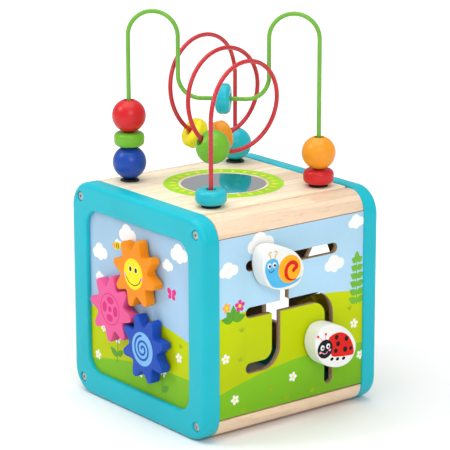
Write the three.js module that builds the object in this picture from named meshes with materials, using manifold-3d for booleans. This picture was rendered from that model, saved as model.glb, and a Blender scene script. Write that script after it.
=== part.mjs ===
// Wooden activity cube: a bead maze on top, gears and slide tracks on two sides and a shape
// sorter on a third. Millimetres, +Z up. The origin is the middle of the foot of the whole toy.
import * as THREE from "three";
import { mergeVertices } from "three/addons/utils/BufferGeometryUtils.js";
import Module from "manifold-3d";

const wasm = await Module();
wasm.setup();

// ---- driving dimensions ----
const SIZE = 200;              // the end frames are SIZE square, and the top face is this high
const HALF_WIDTH = 98;         // outer faces of the two end frames, along X
const FRAME_T = 16.6;
const GAP = 0.3;               // between pieces that touch
const KNOB_FRONT = 116.5;      // front of the sliding knobs, from the cube's middle
const CUBE_Y = (KNOB_FRONT - SIZE / 2) / 2;

const FRAME = { corner: 24, edge: 5, opening: 152.8, openingCorner: 16, lip: 4 };
const REBATE = { width: 162, corner: 12 };
const END_PANEL_T = 5.5;
const SIDE_PANEL = { face: 98.2, thick: 5.6, low: 20, high: 181, tenon: 4 };
const RAIL = { inner: 77, outer: 98, top: 198.5, ledge: 7 };
const TOP_PANEL = { thick: 9, shortBy: 2.5 };
const MIRROR = { radius: 37.8, thick: 1.9 };
const SCREW = { side: 86, low: 14, high: 186, head: 4, shank: 2, length: 30, sink: 1 };

const GEAR = { teeth: 8, tip: 31, root: 20.5, thick: 10, back: 95.5, apart: 55, bore: 3.9 };
const AXLE = { radius: 3.6, head: 9, headThick: 2.4, end: 102.2 };
const SUN_AT = [6.3, 135.1];   // as seen from outside: to the right, and up from the foot

const TRACK_WIDTH = 9.7;
const KNOB_BACK = 99.8;
const PEG = { radius: 4.2, disc: 10, discThick: 2.9, depth: 6 };
const SNAIL = { at: [-24, 151.6], peg: [-21, 153] };
const LADYBIRD = { at: [36, 69], peg: [42, 66] };

const BLOCK = { outer: 105.5, length: 28.5, round: 20, flats: 38, clear: 1 };
const SORTER_HOLES = {
  triangle: { at: [-30, 126.4], side: 50, corner: 2 },
  square: { at: [34.4, 63], side: 40, corner: 2 },
  circle: { at: [32, 130] },
  hexagon: { at: [-30, 66] },
};

const WIRE_R = 2;
const WIRE_SIDES = 6;
const LEG = 60.4;              // X and Y of the four wire legs
const WIRE_FOOT = 183;
const ARCH = { straight: 332.6, inner: 40.7, bendZ: 297.5, bendR: 20 };
const HELIX = { radius: 43.5, startZ: 275, rise: 9, turns: 2.5, ease: 0.03, sway: 0.03 };
const GROMMET = { radius: 9, high: 2.4, stem: 6, bore: 2.35 };
const NUT = { flats: 10, thick: 5, bore: 2.35 };

const BALL = { radius: 15.25, hole: 4.5 };
const DISC = { radius: 13.75, thick: 13, fillet: 4.5, hole: 4.5 };
const BALL_HALF = Math.sqrt(BALL.radius ** 2 - BALL.hole ** 2);
const BEAD_FOOT = SIZE + GROMMET.high + GAP;
const ROUND = 18;              // sides of a round piece

// ---- materials ----
const paint = (color, roughness = 0.4) => new THREE.MeshStandardMaterial({ color, roughness });
const FINISH = {
  teal: paint(0x3ec1d0),
  wood: paint(0xe8cfa6, 0.6),
  printed: paint(0xa9dcf5, 0.45),
  mirror: new THREE.MeshStandardMaterial({ color: 0xd8dde0, roughness: 0.05, metalness: 1 }),
  steel: new THREE.MeshStandardMaterial({ color: 0xb5b8ba, roughness: 0.3, metalness: 1 }),
  black: paint(0x1a1a1c, 0.5),
  white: paint(0xf2f0ea, 0.45),
  red: paint(0xd92b2b, 0.25),
  green: paint(0x78b833, 0.25),
  blue: paint(0x1f55b4, 0.25),
  orange: paint(0xf59a23, 0.3),
  yellow: paint(0xf7e52b, 0.25),
  pink: paint(0xea5d9c, 0.35),
};

// ---- solids ----
function toSolid(geometry) {
  const bare = geometry.clone();
  bare.deleteAttribute("normal");
  bare.deleteAttribute("uv");
  const merged = mergeVertices(bare, 1e-4);
  return new wasm.Manifold(new wasm.Mesh({
    numProp: 3,
    vertProperties: new Float32Array(merged.attributes.position.array),
    triVerts: new Uint32Array(merged.index.array),
  }));
}

function toGeometry(solid) {
  const mesh = solid.getMesh();
  const geometry = new THREE.BufferGeometry();
  geometry.setAttribute("position", new THREE.BufferAttribute(mesh.vertProperties, 3));
  geometry.setIndex(new THREE.BufferAttribute(mesh.triVerts, 1));
  geometry.computeVertexNormals();
  return geometry;
}

// The geometry less every tool.
function cut(geometry, tools) {
  let solid = toSolid(geometry);
  for (const tool of tools) solid = solid.subtract(toSolid(tool));
  return toGeometry(solid);
}

// ---- outlines ----
function roundedBox(width, height, corner, x = 0, y = 0) {
  const [w, h] = [width / 2 - corner, height / 2 - corner];
  const shape = new THREE.Shape();
  shape.absarc(x + w, y + h, corner, 0, Math.PI / 2);
  shape.absarc(x - w, y + h, corner, Math.PI / 2, Math.PI);
  shape.absarc(x - w, y - h, corner, Math.PI, 1.5 * Math.PI);
  shape.absarc(x + w, y - h, corner, 1.5 * Math.PI, 2 * Math.PI);
  return shape;
}

// A regular polygon with rounded corners; the first corner is at the angle start.
function roundedPolygon(sides, radius, corner, [x, y], start = Math.PI / 2) {
  const shape = new THREE.Shape();
  const half = Math.PI / sides;
  const inset = radius - corner / Math.cos(half);
  for (let i = 0; i < sides; i++) {
    const angle = start + 2 * half * i;
    const cx = x + inset * Math.cos(angle);
    const cy = y + inset * Math.sin(angle);
    shape.absarc(cx, cy, corner, angle - half, angle + half);
  }
  return shape;
}

function disc(radius, x = 0, y = 0, sides = ROUND) {
  const points = [];
  for (let i = 0; i < sides; i++) {
    const angle = 2 * Math.PI * i / sides;
    points.push(new THREE.Vector2(x + radius * Math.cos(angle), y + radius * Math.sin(angle)));
  }
  return new THREE.Shape(points);
}

// A plate of an outline from height low to height high, with its edges rounded by edge.
function plate(shape, low, high, { edge = 0, steps = 2, curve = 4 } = {}) {
  const geometry = new THREE.ExtrudeGeometry(shape, {
    depth: high - low - 2 * edge,
    bevelEnabled: edge > 0,
    bevelThickness: edge,
    bevelSize: edge,
    bevelOffset: -edge,
    bevelSegments: steps,
    curveSegments: curve,
  });
  return geometry.translate(0, 0, low + edge);
}

const rod = (radius, low, high, x = 0, y = 0, sides = ROUND) =>
  plate(disc(radius, x, y, sides), low, high);

// A turned piece on the Z axis; the profile is [radius, height] and runs upwards outside.
function turned(profile, sides = ROUND) {
  const points = profile.map(([r, z]) => new THREE.Vector2(r, z));
  return new THREE.LatheGeometry(points, sides).rotateX(Math.PI / 2);
}

// Points of a profile arc, from angle a to angle b.
function arc(r, z, radius, a, b, steps) {
  const points = [];
  for (let i = 0; i <= steps; i++) {
    const angle = a + (b - a) * i / steps;
    points.push([r + radius * Math.cos(angle), z + radius * Math.sin(angle)]);
  }
  return points;
}

// ---- scene graph: one group for the cube, and one turned group for each face ----
const toy = new THREE.Group();
const cube = new THREE.Group();
cube.position.y = CUBE_Y;
toy.add(cube);

// In a face group X is right and Y is up as seen from outside, and Z is the distance outwards.
function faceGroup(right, out) {
  const group = new THREE.Group();
  const up = new THREE.Vector3(0, 0, 1);
  group.quaternion.setFromRotationMatrix(new THREE.Matrix4().makeBasis(right, up, out));
  cube.add(group);
  return group;
}
const leftFace = faceGroup(new THREE.Vector3(0, -1, 0), new THREE.Vector3(-1, 0, 0));
const rightFace = faceGroup(new THREE.Vector3(0, 1, 0), new THREE.Vector3(1, 0, 0));
const frontFace = faceGroup(new THREE.Vector3(1, 0, 0), new THREE.Vector3(0, -1, 0));
const backFace = faceGroup(new THREE.Vector3(-1, 0, 0), new THREE.Vector3(0, 1, 0));

function add(group, name, geometry, material) {
  const mesh = new THREE.Mesh(geometry, material);
  mesh.name = name;
  group.add(mesh);
  return mesh;
}

// ---- end frames and their panels ----
const FRAME_BACK = HALF_WIDTH - FRAME_T;
const PANEL_FACE = HALF_WIDTH - FRAME.lip - GAP;
const SCREW_SPOTS = [
  ["front_low", -SCREW.side, SCREW.low],
  ["front_high", -SCREW.side, SCREW.high],
  ["back_low", SCREW.side, SCREW.low],
  ["back_high", SCREW.side, SCREW.high],
];

function screwHole(x, y) {
  const wide = SCREW.head + 0.4;
  const narrow = SCREW.shank + 0.4;
  const face = HALF_WIDTH;
  const seat = face - SCREW.sink - 0.9;
  const profile = [
    [0, FRAME_BACK - 1],
    [narrow, FRAME_BACK - 1],
    [narrow, seat - 2.2],
    [wide, seat],
    [wide, face - SCREW.sink],
    [wide + 0.8, face],
    [wide + 0.8, face + 1],
    [0, face + 1],
  ];
  return turned(profile, 12).translate(x, y, 0);
}

function endFrame() {
  const ring = roundedBox(SIZE, SIZE, FRAME.corner, 0, SIZE / 2);
  ring.holes.push(roundedBox(FRAME.opening, FRAME.opening, FRAME.openingCorner, 0, SIZE / 2));
  const body = plate(ring, FRAME_BACK - FRAME.edge, HALF_WIDTH, { edge: FRAME.edge, curve: 6 });
  const rebate = roundedBox(REBATE.width, REBATE.width, REBATE.corner, 0, SIZE / 2);
  const tools = [
    new THREE.BoxGeometry(2 * SIZE, 2 * SIZE, SIZE).translate(0, SIZE / 2, FRAME_BACK - SIZE / 2),
    plate(rebate, FRAME_BACK - 1, HALF_WIDTH - FRAME.lip),
  ];
  const grooveWidth = SIDE_PANEL.thick + 2 * GAP;
  const grooveAt = SIDE_PANEL.face - SIDE_PANEL.thick / 2;
  const grooveHeight = SIDE_PANEL.high - SIDE_PANEL.low + 2 * GAP;
  const grooveDepth = 2 * (SIDE_PANEL.tenon + GAP);
  for (const side of [-1, 1]) {
    const groove = new THREE.BoxGeometry(grooveWidth, grooveHeight, grooveDepth);
    tools.push(groove.translate(side * grooveAt, (SIDE_PANEL.low + SIDE_PANEL.high) / 2, FRAME_BACK));
  }
  for (const [, x, y] of SCREW_SPOTS) tools.push(screwHole(x, y));
  return cut(body, tools);
}

function endPanel(holes) {
  const width = REBATE.width - 2 * GAP;
  const shape = roundedBox(width, width, REBATE.corner - GAP, 0, SIZE / 2);
  shape.holes.push(...holes);
  return plate(shape, PANEL_FACE - END_PANEL_T, PANEL_FACE);
}

function screw() {
  const top = HALF_WIDTH - SCREW.sink;
  const body = turned([
    [0, top - SCREW.length],
    [SCREW.shank, top - SCREW.length + 3],
    [SCREW.shank, top - 3],
    [SCREW.head, top - 0.8],
    [SCREW.head, top],
    [0, top],
  ], 10);
  const slot = new THREE.BoxGeometry(0.9, 4.6, 3);
  return cut(body, [slot.clone().translate(0, 0, top), slot.rotateZ(Math.PI / 2).translate(0, 0, top)]);
}

add(leftFace, "frame_left", endFrame(), FINISH.teal);
add(rightFace, "frame_right", endFrame(), FINISH.teal);
for (const [side, group, turn] of [["left", leftFace, -1], ["right", rightFace, 1]]) {
  for (const [spot, x, y] of SCREW_SPOTS) {
    add(group, `screw_${side}_${spot}`, screw(), FINISH.steel).position.set(turn * x, y, 0);
  }
}

// ---- gears ----
// Gear centres are set one mesh distance apart, at these angles as seen from outside.
const SUN_TO_PINK = THREE.MathUtils.degToRad(228.2);
const PINK_TO_BLUE = THREE.MathUtils.degToRad(-27);
const step = (from, angle) => [
  from[0] + GEAR.apart * Math.cos(angle),
  from[1] + GEAR.apart * Math.sin(angle),
];
const PINK_AT = step(SUN_AT, SUN_TO_PINK);
const BLUE_AT = step(PINK_AT, PINK_TO_BLUE);
const TOOTH_PITCH = 2 * Math.PI / GEAR.teeth;
const SUN_PHASE = THREE.MathUtils.degToRad(34);
// A driven gear's tooth fills the driver's gap on the line between their centres.
const meshed = (line, phase) => 2 * line + Math.PI - phase - TOOTH_PITCH / 2;
const PINK_PHASE = meshed(SUN_TO_PINK, SUN_PHASE);
const BLUE_PHASE = meshed(PINK_TO_BLUE, PINK_PHASE);

// One tooth's corners, as [radius, half angle] from the tooth's own middle line.
const TOOTH = [
  [GEAR.root, 0.385],
  [GEAR.root + 1.2, 0.3],
  [GEAR.tip - 1.6, 0.115],
  [GEAR.tip, 0.06],
];

function gear(phase) {
  const points = [];
  for (let i = 0; i < GEAR.teeth; i++) {
    const middle = phase + i * TOOTH_PITCH;
    for (const [r, a] of TOOTH) points.push([r, middle - a]);
    for (const [r, a] of [...TOOTH].reverse()) points.push([r, middle + a]);
  }
  const shape = new THREE.Shape(points.map(([r, a]) => new THREE.Vector2(r * Math.cos(a), r * Math.sin(a))));
  const body = plate(shape, GEAR.back, GEAR.back + GEAR.thick, { edge: 1, steps: 1 });
  return cut(body, [rod(GEAR.bore, GEAR.back - 1, AXLE.end + GAP)]);
}

function axle() {
  const inner = PANEL_FACE - END_PANEL_T - 0.4;
  return turned([
    [0, inner - AXLE.headThick],
    [AXLE.head, inner - AXLE.headThick],
    [AXLE.head, inner],
    [AXLE.radius, inner],
    [AXLE.radius, AXLE.end],
    [0, AXLE.end],
  ]);
}

function spacer() {
  const shape = disc(AXLE.head);
  shape.holes.push(disc(AXLE.radius + 0.4));
  return plate(shape, PANEL_FACE + GAP, GEAR.back - GAP);
}

const GEARS = [
  ["sun", SUN_AT, SUN_PHASE, FINISH.orange],
  ["pink", PINK_AT, PINK_PHASE, FINISH.pink],
  ["blue", BLUE_AT, BLUE_PHASE, FINISH.blue],
];
for (const [name, [x, y], phase, finish] of GEARS) {
  add(leftFace, `gear_${name}`, gear(phase), finish).position.set(x, y, 0);
  add(leftFace, `gear_axle_${name}`, axle(), FINISH.wood).position.set(x, y, 0);
  add(leftFace, `gear_spacer_${name}`, spacer(), FINISH.white).position.set(x, y, 0);
}
const axleHoles = GEARS.map(([, [x, y]]) => disc(AXLE.radius + 0.4, x, y));
add(leftFace, "gear_panel", endPanel(axleHoles), FINISH.printed);

// ---- shape sorter ----
const { triangle, square, circle, hexagon } = SORTER_HOLES;
const cornerRadius = (flats) => flats / Math.sqrt(3);
const sorterHoles = [
  roundedPolygon(3, triangle.side / Math.sqrt(3), triangle.corner, triangle.at),
  roundedBox(square.side, square.side, square.corner, ...square.at),
  disc(BLOCK.round + BLOCK.clear, ...circle.at, 32),
  roundedPolygon(6, cornerRadius(BLOCK.flats + 2 * BLOCK.clear), 1.5, hexagon.at),
];
add(rightFace, "sorter_panel", endPanel(sorterHoles), FINISH.printed);

// A block rests on the lower edge of its hole, balanced on the panel.
function block(shape) {
  return plate(shape, BLOCK.outer - BLOCK.length, BLOCK.outer, { edge: 1, steps: 1, curve: 2 });
}
const BLOCK_DROP = BLOCK.clear - GAP;
const roundBlock = block(disc(BLOCK.round, 0, 0, 32));
const hexBlock = block(roundedPolygon(6, cornerRadius(BLOCK.flats), 1.5, [0, 0]));
add(rightFace, "block_round", roundBlock, FINISH.red)
  .position.set(circle.at[0], circle.at[1] - BLOCK_DROP, 0);
add(rightFace, "block_hexagon", hexBlock, FINISH.yellow)
  .position.set(hexagon.at[0], hexagon.at[1] - BLOCK_DROP, 0);

// ---- rails, side panels and top ----
const RAIL_LENGTH = 2 * (FRAME_BACK - GAP);
const RAIL_FACE_Z = SIDE_PANEL.high + GAP;
const PILOT_DEPTH = 16;

// The section of a top rail, looking along X; the bottom rail is the same without the ledge.
function railSection(withLedge) {
  const shape = new THREE.Shape();
  const low = RAIL_FACE_Z;
  shape.moveTo(RAIL.outer, low);
  const round = RAIL.top - low;
  shape.absarc(RAIL.outer - round, low, round, 0, Math.PI / 2);
  shape.lineTo(RAIL.inner, RAIL.top);
  if (withLedge) {
    const shelf = SIZE - TOP_PANEL.thick - GAP;
    shape.lineTo(RAIL.inner, shelf);
    shape.lineTo(RAIL.inner - RAIL.ledge, shelf);
    shape.lineTo(RAIL.inner - RAIL.ledge, low);
  } else {
    shape.lineTo(RAIL.inner, low);
  }
  return shape;
}

function rail(side, isTop) {
  const length = RAIL_LENGTH / 2;
  const section = plate(railSection(isTop), -length, length, { curve: 8 });
  const pilots = [-1, 1].map((end) => {
    const hole = rod(SCREW.shank + 0.6, -PILOT_DEPTH, PILOT_DEPTH, SCREW.side, SCREW.high, 8);
    return hole.translate(0, 0, end * length);
  });
  const body = cut(section, pilots);
  body.rotateX(Math.PI / 2);
  body.rotateZ(Math.PI / 2);
  if (!isTop) {
    body.rotateX(Math.PI);
    body.translate(0, 0, SIZE);
  }
  const faces = isTop ? side : -side;
  if (faces < 0) body.rotateZ(Math.PI);
  return body;
}
for (const [name, side] of [["front", -1], ["back", 1]]) {
  add(cube, `rail_top_${name}`, rail(side, true), FINISH.wood);
  add(cube, `rail_bottom_${name}`, rail(side, false), FINISH.wood);
}

function sidePanel() {
  const width = 2 * (FRAME_BACK + SIDE_PANEL.tenon);
  const height = SIDE_PANEL.high - SIDE_PANEL.low;
  const box = new THREE.BoxGeometry(width, height, SIDE_PANEL.thick);
  return box.translate(0, SIDE_PANEL.low + height / 2, SIDE_PANEL.face - SIDE_PANEL.thick / 2);
}

// Slots are cut along straight and curved centre lines; each stretch has round ends.
function straightSlot([x0, y0], [x1, y1]) {
  const r = TRACK_WIDTH / 2;
  const angle = Math.atan2(y1 - y0, x1 - x0);
  const shape = new THREE.Shape();
  shape.absarc(x1, y1, r, angle - Math.PI / 2, angle + Math.PI / 2);
  shape.absarc(x0, y0, r, angle + Math.PI / 2, angle + 1.5 * Math.PI);
  return shape;
}

function curvedSlot([x, y], radius, from, to) {
  const shape = new THREE.Shape();
  shape.absarc(x, y, radius + TRACK_WIDTH / 2, from, to);
  shape.absarc(x, y, radius - TRACK_WIDTH / 2, to, from, true);
  return shape;
}

const TRACK = { left: -47.2, right: 46.2, upper: 153, middle: 111, lower: 60.5, foot: 33 };
const BEND = { right: 18, left: 14.5 };
const LEG_X = LADYBIRD.peg[0];
const BRANCH_X = -18.3;
const bendRight = [LEG_X - BEND.right, TRACK.middle - BEND.right];
const bendLeft = [BRANCH_X - BEND.left, TRACK.lower + BEND.left];
const slots = [
  straightSlot([TRACK.left, TRACK.upper], [TRACK.right, TRACK.upper]),
  straightSlot([-9, TRACK.upper], [-9, TRACK.middle]),
  straightSlot([TRACK.left, TRACK.middle], [bendRight[0], TRACK.middle]),
  curvedSlot(bendRight, BEND.right, 0, Math.PI / 2),
  straightSlot([LEG_X, bendRight[1]], [LEG_X, TRACK.foot]),
  straightSlot([BRANCH_X, TRACK.middle], [BRANCH_X, bendLeft[1]]),
  curvedSlot(bendLeft, BEND.left, 1.5 * Math.PI, 2 * Math.PI),
  straightSlot([bendLeft[0], TRACK.lower], [TRACK.left, TRACK.lower]),
].map((shape) => plate(shape, SIDE_PANEL.face - 10, SIDE_PANEL.face + 4, { curve: 8 }));
add(frontFace, "slide_panel", cut(sidePanel(), slots), FINISH.printed);
add(backFace, "back_panel", sidePanel(), FINISH.printed);

const LEG_SPOTS = [
  ["front_left", -LEG, -LEG],
  ["front_right", LEG, -LEG],
  ["back_left", -LEG, LEG],
  ["back_right", LEG, LEG],
];
function topPanel() {
  const left = -FRAME_BACK + GAP;
  const right = FRAME_BACK - TOP_PANEL.shortBy;
  const depth = 2 * (RAIL.inner - GAP);
  const box = new THREE.BoxGeometry(right - left, depth, TOP_PANEL.thick);
  box.translate((left + right) / 2, 0, SIZE - TOP_PANEL.thick / 2);
  const tools = LEG_SPOTS.map(([, x, y]) =>
    rod(GROMMET.stem + GAP, SIZE - 2 * TOP_PANEL.thick, SIZE + 5, x, y));
  const recess = SIZE - MIRROR.thick - GAP - 0.1;
  tools.push(rod(MIRROR.radius + GAP, recess, SIZE + 5, 0, 0, 24));
  return cut(box, tools);
}
add(cube, "top_panel", topPanel(), FINISH.wood);
add(cube, "mirror", rod(MIRROR.radius, SIZE - MIRROR.thick - 0.1, SIZE - 0.1, 0, 0, 24), FINISH.mirror);

// ---- sliding knobs on the tracks ----
// Knob outlines are closed smooth curves through these points, from the knob's middle.
const SNAIL_OUTLINE = [[-23, 2], [-20, 17], [-11, 20.3], [12, 12], [22.5, -3], [17, -17.5], [3, -20.5], [-15, -15]];
const LADYBIRD_OUTLINE = [[-24, 5], [-18, 18.5], [-6, 20.7], [13, 12.5], [23.5, -4], [18, -17], [4, -21], [-16, -13]];

function knob(outline, [x, y], [pegX, pegY]) {
  const points = outline.map(([px, py]) => new THREE.Vector3(x + px, y + py, 0));
  const curve = new THREE.CatmullRomCurve3(points.reverse(), true, "centripetal");
  const shape = new THREE.Shape(curve.getPoints(32).slice(0, -1).map((p) => new THREE.Vector2(p.x, p.y)));
  const body = plate(shape, KNOB_BACK, KNOB_FRONT, { edge: 2, steps: 2 });
  const hole = rod(PEG.radius + GAP, KNOB_BACK - 1, KNOB_BACK + PEG.depth + GAP, pegX, pegY);
  return cut(body, [hole]);
}

// The peg runs from inside the knob, through the slot, to a disc behind the panel.
function peg() {
  const front = SIDE_PANEL.face - SIDE_PANEL.thick - 0.4;
  return turned([
    [0, front - PEG.discThick],
    [PEG.disc, front - PEG.discThick],
    [PEG.disc, front],
    [PEG.radius, front],
    [PEG.radius, KNOB_BACK + PEG.depth],
    [0, KNOB_BACK + PEG.depth],
  ]);
}
add(frontFace, "snail_knob", knob(SNAIL_OUTLINE, SNAIL.at, SNAIL.peg), FINISH.white);
add(frontFace, "snail_peg", peg(), FINISH.wood).position.set(...SNAIL.peg, 0);
add(frontFace, "ladybird_knob", knob(LADYBIRD_OUTLINE, LADYBIRD.at, LADYBIRD.peg), FINISH.white);
add(frontFace, "ladybird_peg", peg(), FINISH.wood).position.set(...LADYBIRD.peg, 0);

// ---- bead maze wires ----
// The green wire lies in the upright plane through the left back and right front legs.
class ArchCurve extends THREE.Curve {
  constructor() {
    super();
    const end = LEG * Math.SQRT2;
    const { straight, inner, bendZ, bendR } = ARCH;
    const top = (end + inner) / 2;
    const topR = (end - inner) / 2;
    const path = new THREE.Path();
    path.moveTo(-end, WIRE_FOOT);
    path.lineTo(-end, straight);
    path.absarc(-top, straight, topR, Math.PI, 0, true);
    path.lineTo(-inner, bendZ);
    path.absarc(bendR - inner, bendZ, bendR, Math.PI, 1.5 * Math.PI);
    path.lineTo(inner - bendR, bendZ - bendR);
    path.absarc(inner - bendR, bendZ, bendR, -Math.PI / 2, 0);
    path.lineTo(inner, straight);
    path.absarc(top, straight, topR, Math.PI, 0, true);
    path.lineTo(end, WIRE_FOOT);
    this.path = path;
  }
  getPoint(t, target = new THREE.Vector3()) {
    const { x, y } = this.path.getPointAt(t);
    return target.set(x * Math.SQRT1_2, -x * Math.SQRT1_2, y);
  }
}

// The red wire winds clockwise, seen from the front, from the left front leg to the right back one.
class HelixCurve extends THREE.Curve {
  getPoint(t, target = new THREE.Vector3()) {
    const { radius, startZ, rise, turns, ease, sway } = HELIX;
    const angle = Math.PI - t * turns * 2 * Math.PI;
    const ramp = (u) => u * u / (2 * ease);
    let along = t - ease / 2;
    if (t < ease) along = ramp(t);
    if (t > 1 - ease) along = 1 - ease - ramp(1 - t);
    const share = along / (1 - ease);
    const drift = (LEG - radius) * (2 * t - 1);
    return target.set(
      drift + radius * Math.cos(angle),
      -LEG + 2 * LEG * (share + sway * Math.sin(2 * Math.PI * share)),
      startZ + rise * t + radius * Math.sin(angle),
    );
  }
}

const archCurve = new ArchCurve();
const helix = new HelixCurve();
const spiral = new THREE.CurvePath();
const helixStart = helix.getPoint(0);
const helixEnd = helix.getPoint(1);
const atFoot = (point) => new THREE.Vector3(point.x, point.y, WIRE_FOOT);
spiral.add(new THREE.LineCurve3(atFoot(helixStart), helixStart));
spiral.add(helix);
spiral.add(new THREE.LineCurve3(helixEnd, atFoot(helixEnd)));

function wire(path, steps) {
  const section = new THREE.Shape();
  for (let i = 0; i < WIRE_SIDES; i++) {
    const angle = 2 * Math.PI * i / WIRE_SIDES;
    const [x, y] = [WIRE_R * Math.cos(angle), WIRE_R * Math.sin(angle)];
    if (i === 0) section.moveTo(x, y);
    else section.lineTo(x, y);
  }
  return new THREE.ExtrudeGeometry(section, { steps, extrudePath: path, curveSegments: 1 });
}
add(cube, "wire_green", wire(archCurve, 96), FINISH.green);
add(cube, "wire_red", wire(spiral, 110), FINISH.red);

function grommet() {
  const { radius, high, stem, bore } = GROMMET;
  return turned([
    [bore, SIZE - TOP_PANEL.thick + GAP],
    [stem, SIZE - TOP_PANEL.thick + GAP],
    [stem, SIZE + GAP],
    [radius, SIZE + GAP],
    [radius, SIZE + GAP + 0.6],
    [radius - 1, SIZE + high - 0.4],
    [radius - 3, SIZE + high],
    [bore, SIZE + high],
    [bore, SIZE - TOP_PANEL.thick + GAP],
  ], 14);
}

function nut() {
  const shape = roundedPolygon(6, cornerRadius(NUT.flats), 0.6, [0, 0]);
  shape.holes.push(disc(NUT.bore, 0, 0, 12));
  const high = SIZE - TOP_PANEL.thick - GAP;
  return plate(shape, high - NUT.thick, high, { curve: 1 });
}
for (const [spot, x, y] of LEG_SPOTS) {
  add(cube, `grommet_${spot}`, grommet(), FINISH.black).position.set(x, y, 0);
  add(cube, `wire_nut_${spot}`, nut(), FINISH.steel).position.set(x, y, 0);
}

// ---- beads ----
function ball() {
  const { radius, hole } = BALL;
  const end = Math.acos(hole / radius);
  return turned([...arc(0, 0, radius, -end, end, 9), [hole, -BALL_HALF]]);
}

function flatBead() {
  const { radius, thick, fillet, hole } = DISC;
  const half = thick / 2;
  return turned([
    [hole, -half],
    ...arc(radius - fillet, fillet - half, fillet, -Math.PI / 2, 0, 3),
    ...arc(radius - fillet, half - fillet, fillet, 0, Math.PI / 2, 3),
    [hole, half],
    [hole, -half],
  ]);
}

// Beads stand on each other up a leg, each with its half height.
function stack(x, y, beads) {
  let height = BEAD_FOOT;
  for (const [name, geometry, half, finish] of beads) {
    add(cube, name, geometry, finish).position.set(x, y, height + half);
    height += 2 * half + GAP;
  }
}
const DISC_HALF = DISC.thick / 2;
stack(-LEG, LEG, [
  ["bead_left_blue_ball", ball(), BALL_HALF, FINISH.blue],
  ["bead_left_green_disc", flatBead(), DISC_HALF, FINISH.green],
  ["bead_left_red_ball", ball(), BALL_HALF, FINISH.red],
]);
stack(LEG, -LEG, [
  ["bead_right_red_disc", flatBead(), DISC_HALF, FINISH.red],
  ["bead_right_orange_ball", ball(), BALL_HALF, FINISH.orange],
]);
stack(-LEG, -LEG, [["bead_front_teal_disc", flatBead(), DISC_HALF, FINISH.teal]]);
stack(LEG, LEG, [["bead_back_teal_ball", ball(), BALL_HALF, FINISH.teal]]);

// A threaded bead lies across its wire, with the wire's direction through its hole.
function thread(name, geometry, finish, at, direction) {
  const bead = add(cube, name, geometry, finish);
  bead.position.copy(at);
  bead.quaternion.setFromUnitVectors(new THREE.Vector3(0, 0, 1), direction);
}
thread("bead_valley_teal_disc", flatBead(), FINISH.teal,
  new THREE.Vector3(0, 0, ARCH.bendZ - ARCH.bendR), new THREE.Vector3(1, -1, 0).normalize());

// The helix's own angle runs from 180 degrees down; a bead sits inward of the wire by inset.
const LOOP_BEADS = [
  ["bead_loop_green_ball", ball(), FINISH.green, -118, 0.8],
  ["bead_loop_orange_disc", flatBead(), FINISH.orange, -441, 0],
  ["bead_loop_yellow_disc", flatBead(), FINISH.yellow, -479, 0],
];
for (const [name, geometry, finish, degrees, inset] of LOOP_BEADS) {
  const t = (180 - degrees) / (360 * HELIX.turns);
  const direction = helix.getTangent(t);
  const inward = helix.getTangent(t + 0.001).sub(helix.getTangent(t - 0.001)).normalize();
  thread(name, geometry, finish, helix.getPoint(t).addScaledVector(inward, inset), direction);
}

export default toy;
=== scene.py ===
import math

import bmesh
import bpy
from bpy.props import FloatProperty, FloatVectorProperty, IntProperty, PointerProperty
from bpy.types import Operator, Panel, PropertyGroup
from mathutils import Matrix, Vector


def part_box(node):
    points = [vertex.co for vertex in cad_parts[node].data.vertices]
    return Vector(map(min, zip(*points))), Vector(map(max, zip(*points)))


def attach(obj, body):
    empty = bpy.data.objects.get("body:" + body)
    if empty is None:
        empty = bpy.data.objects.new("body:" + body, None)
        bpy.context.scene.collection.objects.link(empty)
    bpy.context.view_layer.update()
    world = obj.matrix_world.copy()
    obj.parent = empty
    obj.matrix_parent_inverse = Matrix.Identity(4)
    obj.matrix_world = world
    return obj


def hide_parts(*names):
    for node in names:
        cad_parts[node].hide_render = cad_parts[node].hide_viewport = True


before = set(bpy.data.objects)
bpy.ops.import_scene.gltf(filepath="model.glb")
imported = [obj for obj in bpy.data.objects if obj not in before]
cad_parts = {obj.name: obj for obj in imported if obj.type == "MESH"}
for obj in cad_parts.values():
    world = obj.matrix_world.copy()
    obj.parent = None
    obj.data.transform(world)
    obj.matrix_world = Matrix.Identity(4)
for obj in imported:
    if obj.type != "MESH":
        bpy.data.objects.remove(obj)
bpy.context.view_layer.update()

bl_info = {
    "name": "Wooden activity cube",
    "version": (1, 0, 0),
    "blender": (4, 5, 0),
    "location": "View3D > Sidebar > Activity Cube",
    "description": "Builds the finished pieces and prints of a wooden activity cube around its frame",
    "category": "Object",
}

# ---------------------------------------------------------------- sizes, in millimetres
MM = 0.001


def node_box(node):
    """Lowest and highest corner of a frame node, in millimetres."""
    low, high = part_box(node)
    return low / MM, high / MM


def node_centre(node):
    low, high = node_box(node)
    return (low + high) / 2


FRAME_LOW, FRAME_HIGH = node_box("frame_left")
SIZE = FRAME_HIGH.z
HALF = -FRAME_LOW.x
FRAME_BACK = -FRAME_HIGH.x
CUBE_Y = (FRAME_LOW.y + FRAME_HIGH.y) / 2
END_FACE = -node_box("gear_panel")[0].x
SIDE_FACE = CUBE_Y - node_box("slide_panel")[0].y
TOP_Z = node_box("top_panel")[1].z
KNOB_FRONT = CUBE_Y - node_box("snail_knob")[0].y
KNOB_BACK = CUBE_Y - node_box("snail_knob")[1].y
GEAR_FRONT = -node_box("gear_sun")[0].x
GEAR_BACK = -node_box("gear_sun")[1].x
LEG = node_centre("grommet_front_right").x
LEGS = [("front_left", -1, -1), ("front_right", 1, -1), ("back_left", -1, 1), ("back_right", 1, 1)]
WIRE_FOOT = node_box("wire_green")[0].z
INK, INK_STEP = 0.05, 0.0012   # thickness of one printed layer, and what keeps two shapes of it apart
PROUD = 0.3                    # room left for print on the gears and knobs

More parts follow.
